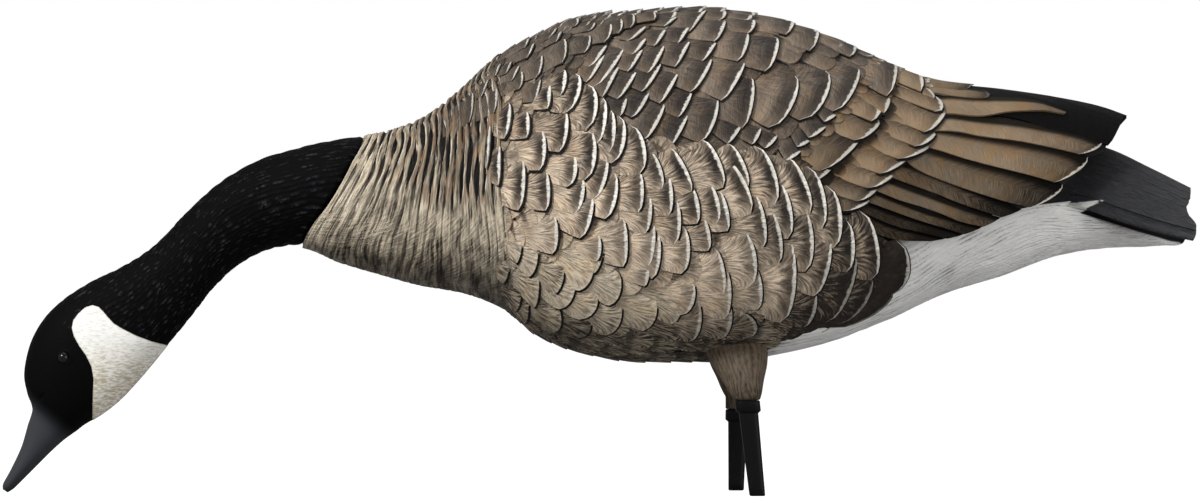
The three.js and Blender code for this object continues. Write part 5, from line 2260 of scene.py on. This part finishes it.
@dataclass(frozen=True)
class PleatFinish(Finish):
    """Breast paint: dark between the strands, where it is painted shade in the slits, beige on them, and a
    painted highlight in white along some crests.
    """

    name: str = "pleat_paint"
    dark: tuple = (44, 35, 28)
    light: tuple = (214, 200, 176)
    tan: tuple = (140, 106, 74)
    # painted shade in the slits
    slit: tuple = (18, 14, 12)
    # painted highlight along the crests beside the slits
    white: tuple = (240, 232, 216)
    mottling: float = 0.3
    dust: float = 0.05
    bump: float = 0.9
    depth: float = 0.0012

    def paint(self, g: Graph, shop: Workshop) -> tuple:
        """Colour and height, from the strands' cut and the notes' paint.

        Args:
            g: the material's graph.
            shop: the shared node groups.

        Returns:
            Colour, height and roughness, each a socket or a number, and how far the hue wanders.
        """
        slit, tone, wide = g.parts(g.attribute("zone"))
        crest, fine, middle = g.parts(g.attribute("crest"))
        lane, run, _ = g.parts(g.attribute("strand"))
        hair = g.noise(g.vector(g.times(lane, 4.5), g.times(run, 0.07), 0.0), 1.0, 2.5, 0.6)
        slanting = g.times_plus(run, 0.05, g.times(lane, 1.1))
        cross = g.noise(g.vector(slanting, g.times(run, 0.5), 3.0), 1.0, 2.5, 0.6)
        hair = g.times_plus(g.less(cross, hair), g.span(wide, 0.4, 0.15, 0.0, 0.5), hair)
        hair = g.span(hair, 0.32, 0.66)
        patch = g.noise(g.vector(g.times(lane, 0.7), g.times(run, 0.06), 7.0), 1.0, 2.0)
        uneven = g.plus(g.times(g.less(hair, 0.5), 0.8), g.times_plus(fine, -0.7, g.less(patch, 0.5)))
        share = g.times_plus(uneven, g.span(tone, 0.1, 0.7, 0.3, 0.85), tone)
        # Painted light and shade that round each strand: lighter on its middle, darker towards its slits
        rounded = g.times(g.less(middle, 0.5), g.span(wide, 0.2, 0.9, 0.05, 0.45))
        colour = self.blend(g, g.plus(share, rounded, clamp=True), "dark", "light")
        warm = self.blend(g, g.span(patch, 0.4, 0.65), colour, "tan")
        colour = g.blend(g.times(g.span(wide, 0.3, 0.8), 0.5), colour, warm)
        # Painted shade in the slits, then a painted highlight along the crests beside them
        cut = g.times(g.span(slit, 0.0, 0.4), g.span(wide, 0.1, 0.7, 0.45, 1.0))
        colour = self.blend(g, cut, colour, "slit")
        colour = self.blend(g, g.times(crest, g.span(hair, 0.2, 0.7)), colour, "white")
        return colour, hair, self.roughness, 0.0


@dataclass(frozen=True)
class TailFinish(Finish):
    """Satin black with barb lines, and the white that reaches over the root."""

    name: str = "tail_paint"
    black: tuple = (14, 14, 16)
    grey: tuple = (88, 89, 94)
    white: tuple = (236, 236, 231)
    roughness: float = 0.4
    speckle: float = 0.12
    mottling: float = 0.25
    gloss: float = 0.25
    bump: float = 0.9
    depth: float = 0.0008

    def paint(self, g: Graph, shop: Workshop) -> tuple:
        """Colour and height, from the feathers' places.

        Args:
            g: the material's graph.
            shop: the shared node groups.

        Returns:
            Colour, height and roughness, each a socket or a number, and how far the hue wanders.
        """
        strokes = g.group(shop.strokes, Plume=g.attribute("plume"), Slant=9.0, Fineness=1.4,
                          Fan=0.8).outputs["Strokes"]
        inside, _, _ = g.parts(g.attribute("tint"))
        ragged = g.times_plus(g.less(strokes, 0.5), 0.8, inside)
        black = self.blend(g, g.times(strokes, 0.55), "black", "grey")
        return self.blend(g, g.span(ragged, -0.3, 0.3), black, "white"), strokes, self.roughness, 0.0


@dataclass(frozen=True)
class NeckFinish(Finish):
    """Short black flock with a painted highlight in grey on its strands' crests, smoother on the bill, with a
    finely hatched white cheek.
    """

    name: str = "neck_flock"
    black: tuple = (4, 4, 5)
    # painted highlight on the crests of the flock's strands
    crest: tuple = (50, 50, 54)
    bill: tuple = (58, 59, 63)
    cheek: tuple = (243, 242, 238)
    cheek_low: tuple = (206, 192, 158)
    hatch: tuple = (184, 177, 162)
    bill_roughness: float = 0.42
    speckle: float = 0.0
    mottling: float = 0.18
    gloss: float = 0.05
    depth: float = 0.0003

    def paint(self, g: Graph, shop: Workshop) -> tuple:
        """Colour, height and roughness, from the distance inside the cheek and the flock's strands.

        Args:
            g: the material's graph.
            shop: the shared node groups.

        Returns:
            Colour, height and roughness, each a socket or a number, and how far the hue wanders.
        """
        inside, bill, strand = g.parts(g.attribute("mark"))
        nap = g.noise(g.place(), 1500.0, 2.0, 0.7)
        hatch = g.noise(g.place((240.0, 200.0, 900.0)), 1.0, 2.0, 0.6)
        _, _, height = g.parts(g.place())
        low = g.span(height, 0.115, 0.07)
        cream = self.blend(g, g.times(low, g.span(hatch, 0.3, 0.65)), "cheek", "cheek_low")
        lines = g.times(g.span(hatch, 0.45, 0.7), g.span(low, 0.0, 1.0, 0.45, 0.95))
        cream = self.blend(g, lines, cream, "hatch")
        # Painted highlight: grey on the crests of the strands, broken by flecks
        flecks = g.noise(g.place(), 420.0, 3.0, 0.7)
        crest = g.times(g.span(strand, 0.35, 0.95), g.span(flecks, 0.4, 0.68))
        black = self.blend(g, bill, self.blend(g, crest, "black", "crest"), "bill")
        white = g.span(g.times_plus(g.less(nap, 0.5), 0.35, inside), -0.12, 0.12)
        cream = self.blend(g, g.times(g.span(inside, 1.1, 0.1), 0.55), cream, "hatch")
        rough = g.times_plus(nap, 0.15, g.span(bill, 0.0, 1.0, self.roughness, self.bill_roughness))
        return g.blend(white, black, cream), g.times_plus(hatch, white, g.times(nap, 0.6)), rough, 0.0


@dataclass(frozen=True)
class GlossFinish:
    """Polished bead: nearly black, with a brown cast in soft patches."""

    name: str = "eye_gloss"
    pupil: tuple = (4, 4, 4)
    cast: tuple = (11, 8, 7)
    gloss: float = 0.35

    def material(self, shop: Workshop) -> Material:
        """The finish as a material.

        Args:
            shop: the shared node groups.

        Returns:
            The material.
        """
        material, g, shader = new_material(self.name)
        patches = g.noise(g.place(), 300.0, 2.0)
        g.feed_named(shader, Base_Color=g.blend(patches, srgb(*self.pupil), srgb(*self.cast)),
                     Roughness=g.times_plus(patches, 0.04, 0.14), Specular_IOR_Level=self.gloss)
        return material


@dataclass(frozen=True)
class PostFinish(Finish):
    """Moulded black plastic with a fine grain and rubbed edges."""

    name: str = "post_plastic"
    black: tuple = (4, 4, 5)
    rubbed: tuple = (24, 23, 23)
    roughness: float = 0.34
    speckle: float = 0.0
    gloss: float = 0.18
    bump: float = 0.35
    depth: float = 0.0002

    def paint(self, g: Graph, shop: Workshop) -> tuple:
        """Colour, height and roughness.

        Args:
            g: the material's graph.
            shop: the shared node groups.

        Returns:
            Colour, height and roughness, each a socket or a number, and how far the hue wanders.
        """
        grain = g.noise(g.place(), 1100.0, 3.0, 0.6)
        patches = g.noise(g.place((1.0, 1.0, 0.4)), 130.0, 4.0, 0.65)
        colour = self.blend(g, g.span(patches, 0.52, 0.72, 0.0, 0.6), "black", "rubbed")
        return colour, grain, g.times_plus(patches, 0.2, self.roughness), 0.0


@dataclass(frozen=True)
class HairFinish(Finish):
    """Beige paint on the thigh tufts, with painted shade in the furrows and darker towards the post."""

    name: str = "thigh_paint"
    light: tuple = (112, 98, 82)
    dark: tuple = (40, 33, 26)
    dust: float = 0.05

    def paint(self, g: Graph, shop: Workshop) -> tuple:
        """Colour and height, from the strands.

        Args:
            g: the material's graph.
            shop: the shared node groups.

        Returns:
            Colour, height and roughness, each a socket or a number, and how far the hue wanders.
        """
        strand, up, _ = g.parts(g.attribute("zone"))
        fine = g.noise(g.place((700.0, 700.0, 60.0)), 1.0, 2.0, 0.6)
        specks = g.noise(g.place((1.0, 1.0, 0.5)), 380.0, 3.0, 0.7)
        # Painted shade in the furrows, and darker towards the post
        share = g.plus(g.times(strand, 0.25), g.times(fine, 0.5))
        share = g.times_plus(specks, 0.5, g.less(share, 0.2))
        share = g.times_plus(g.span(up, 0.0, 0.6), 0.15, g.less(share, 0.1))
        return self.blend(g, g.span(share, 0.1, 0.75), "dark", "light"), fine, self.roughness, 0.0


@dataclass(frozen=True)
class CapeFinish(Finish):
    """Dark brown painted shade in the recesses between the wings' feathers, streaked along them."""

    name: str = "cape_shade_paint"
    dark: tuple = (10, 9, 9)
    brown: tuple = (27, 24, 22)
    roughness: float = 0.55
    dust: float = 0.05

    def paint(self, g: Graph, shop: Workshop) -> tuple:
        """Colour and height."""
        streaks = g.noise(g.place((60.0, 500.0, 500.0)), 1.0, 3.0, 0.6)
        return self.blend(g, g.span(streaks, 0.35, 0.75), "dark", "brown"), streaks, self.roughness, 0.0


# The shadow colour here is painted shadow under the feathers above, and also the black of the first primaries
LONG_PAINT = PlumeFinish("long_feather_paint", (30, 26, 23), (194, 168, 138), (36, 33, 32), (234, 228, 216),
                         shadow=(8, 7, 7), shadowing=0.95, band_reach=5.0, stroke_depth=0.35, edge_width=1.8,
                         dust=0.0, slant=10.0, fineness=2.2, roughness=0.55, gloss=0.08,
                         hue=0.8)


# The picture's setting

class Studio:
    """A white floor and sky, soft lamps and the camera."""

    frame_width = 840.0 * MM    # what the camera takes in at the goose's middle plane
    sensor = 36.0
    floor_reach = 30.0
    floor_glow = 0.95
    sky_light = 0.38            # strength of the sky's light on the goose
    # name, place, aim, size and watts of each lamp
    lamps = (
        ("key", (-1.9, -2.0, 2.2), (0, 0, 0.2), 0.9, 102.0),
        ("fill", (2.2, -2.2, 0.4), (0, 0, 0.15), 2.0, 35.0),
        ("top", (0.3, 0.6, 2.6), (0, 0, 0.2), 2.0, 16.0),
    )

    def floor(self) -> None:
        """A wide pale floor that glows where the camera sees it, so that it shows as white paper."""
        material, graph, shader = new_material("paper")
        seen = graph.node("ShaderNodeLightPath").outputs["Is Camera Ray"]
        graph.feed_named(shader, Base_Color=(0.3, 0.3, 0.3), Roughness=0.9, Specular_IOR_Level=0.0,
                         Emission_Color=(1, 1, 1), Emission_Strength=graph.times(seen, self.floor_glow))
        mesh = bpy.data.meshes.new("floor")
        corners = [(x * self.floor_reach, y * self.floor_reach, 0)
                   for x, y in ((-1, -1), (1, -1), (1, 1), (-1, 1))]
        mesh.from_pydata(corners, [], [(0, 1, 2, 3)])
        mesh.materials.append(material)
        set_down("floor", mesh)

    def sky(self) -> None:
        """White where the camera sees it, and a softer light on the goose."""
        world = bpy.data.worlds.new("sky")
        bpy.context.scene.world = world
        world.use_nodes = True
        world.node_tree.nodes.clear()
        graph = Graph(world.node_tree)
        seen = graph.node("ShaderNodeLightPath").outputs["Is Camera Ray"]
        light = graph.node("ShaderNodeBackground", (1.0, 1.0, 1.0),
                           graph.span(seen, 0.0, 1.0, self.sky_light, 1.0))
        graph.node("ShaderNodeOutputWorld", light.outputs[0])

    def lamp(self, name: str, place: tuple, aim: tuple, size: float, watts: float) -> None:
        """A square soft lamp at a place, turned to its aim.

        Args:
            name: its name.
            place: where it stands.
            aim: the point that it faces.
            size: length of its side, in metres.
            watts: its power.
        """
        light = bpy.data.lights.new(name, "AREA")
        light.size, light.energy = size, watts
        holder = set_down(name, light)
        holder.location = place
        away = Vector(aim) - Vector(place)
        holder.rotation_euler = away.to_track_quat("-Z", "Y").to_euler()

    def camera(self) -> None:
        """A level camera on the goose's left, at the height of the picture's middle."""
        data = bpy.data.cameras.new("camera")
        data.sensor_width = self.sensor
        data.lens = self.sensor * VIEW.distance / self.frame_width
        holder = set_down("camera", data)
        x, z = VIEW.eye
        holder.location = (x, -VIEW.distance, z)
        holder.rotation_euler = (math.pi / 2, 0, 0)
        bpy.context.scene.camera = holder

    def build(self) -> None:
        """Sets the whole stage."""
        self.floor()
        self.sky()
        self.camera()
        for lamp in self.lamps:
            self.lamp(*lamp)
        view = bpy.context.scene.view_settings
        view.view_transform, view.look = "Standard", "None"


def dress(piece: Piece, slot: str, *nodes: str) -> None:
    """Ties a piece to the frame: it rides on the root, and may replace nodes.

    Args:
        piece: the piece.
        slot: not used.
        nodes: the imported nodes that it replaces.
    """
    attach(piece, "root")
    if nodes:
        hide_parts(*nodes)


def main() -> None:
    """Builds every piece in order, then the stage."""
    logging.basicConfig(level=logging.INFO, format="%(message)s")
    shop = Workshop()
    wings = FoldedWings()
    dress(Body().build(BodyFinish().material(shop)), "body", "body")
    dress(wings.cape(CapeFinish().material(shop)), "body")
    dress(Breast().build(PleatFinish().material(shop)), "body")
    for tract, finish in PLUMAGE:
        dress(tract.build(finish.material(shop)), "body")
    dress(wings.long_feathers(LONG_PAINT.material(shop)), "body")
    dress(Tail().build(TailFinish().material(shop)), "body")
    hair, plastic = HairFinish().material(shop), PostFinish().material(shop)
    for leg in LEGS:
        dress(leg.thigh(hair), "body")
        dress(leg.post(plastic), "leg", f"leg_{leg.name}")
    dress(HeadAndNeck().build(NeckFinish().material(shop)), "head_neck", "head_neck")
    gloss = GlossFinish().material(shop)
    for node in ("eye_left", "eye_right"):
        dress(Eye(node).build(gloss), "eye", node)
    Studio().build()


if __name__ == "__main__":
    main()
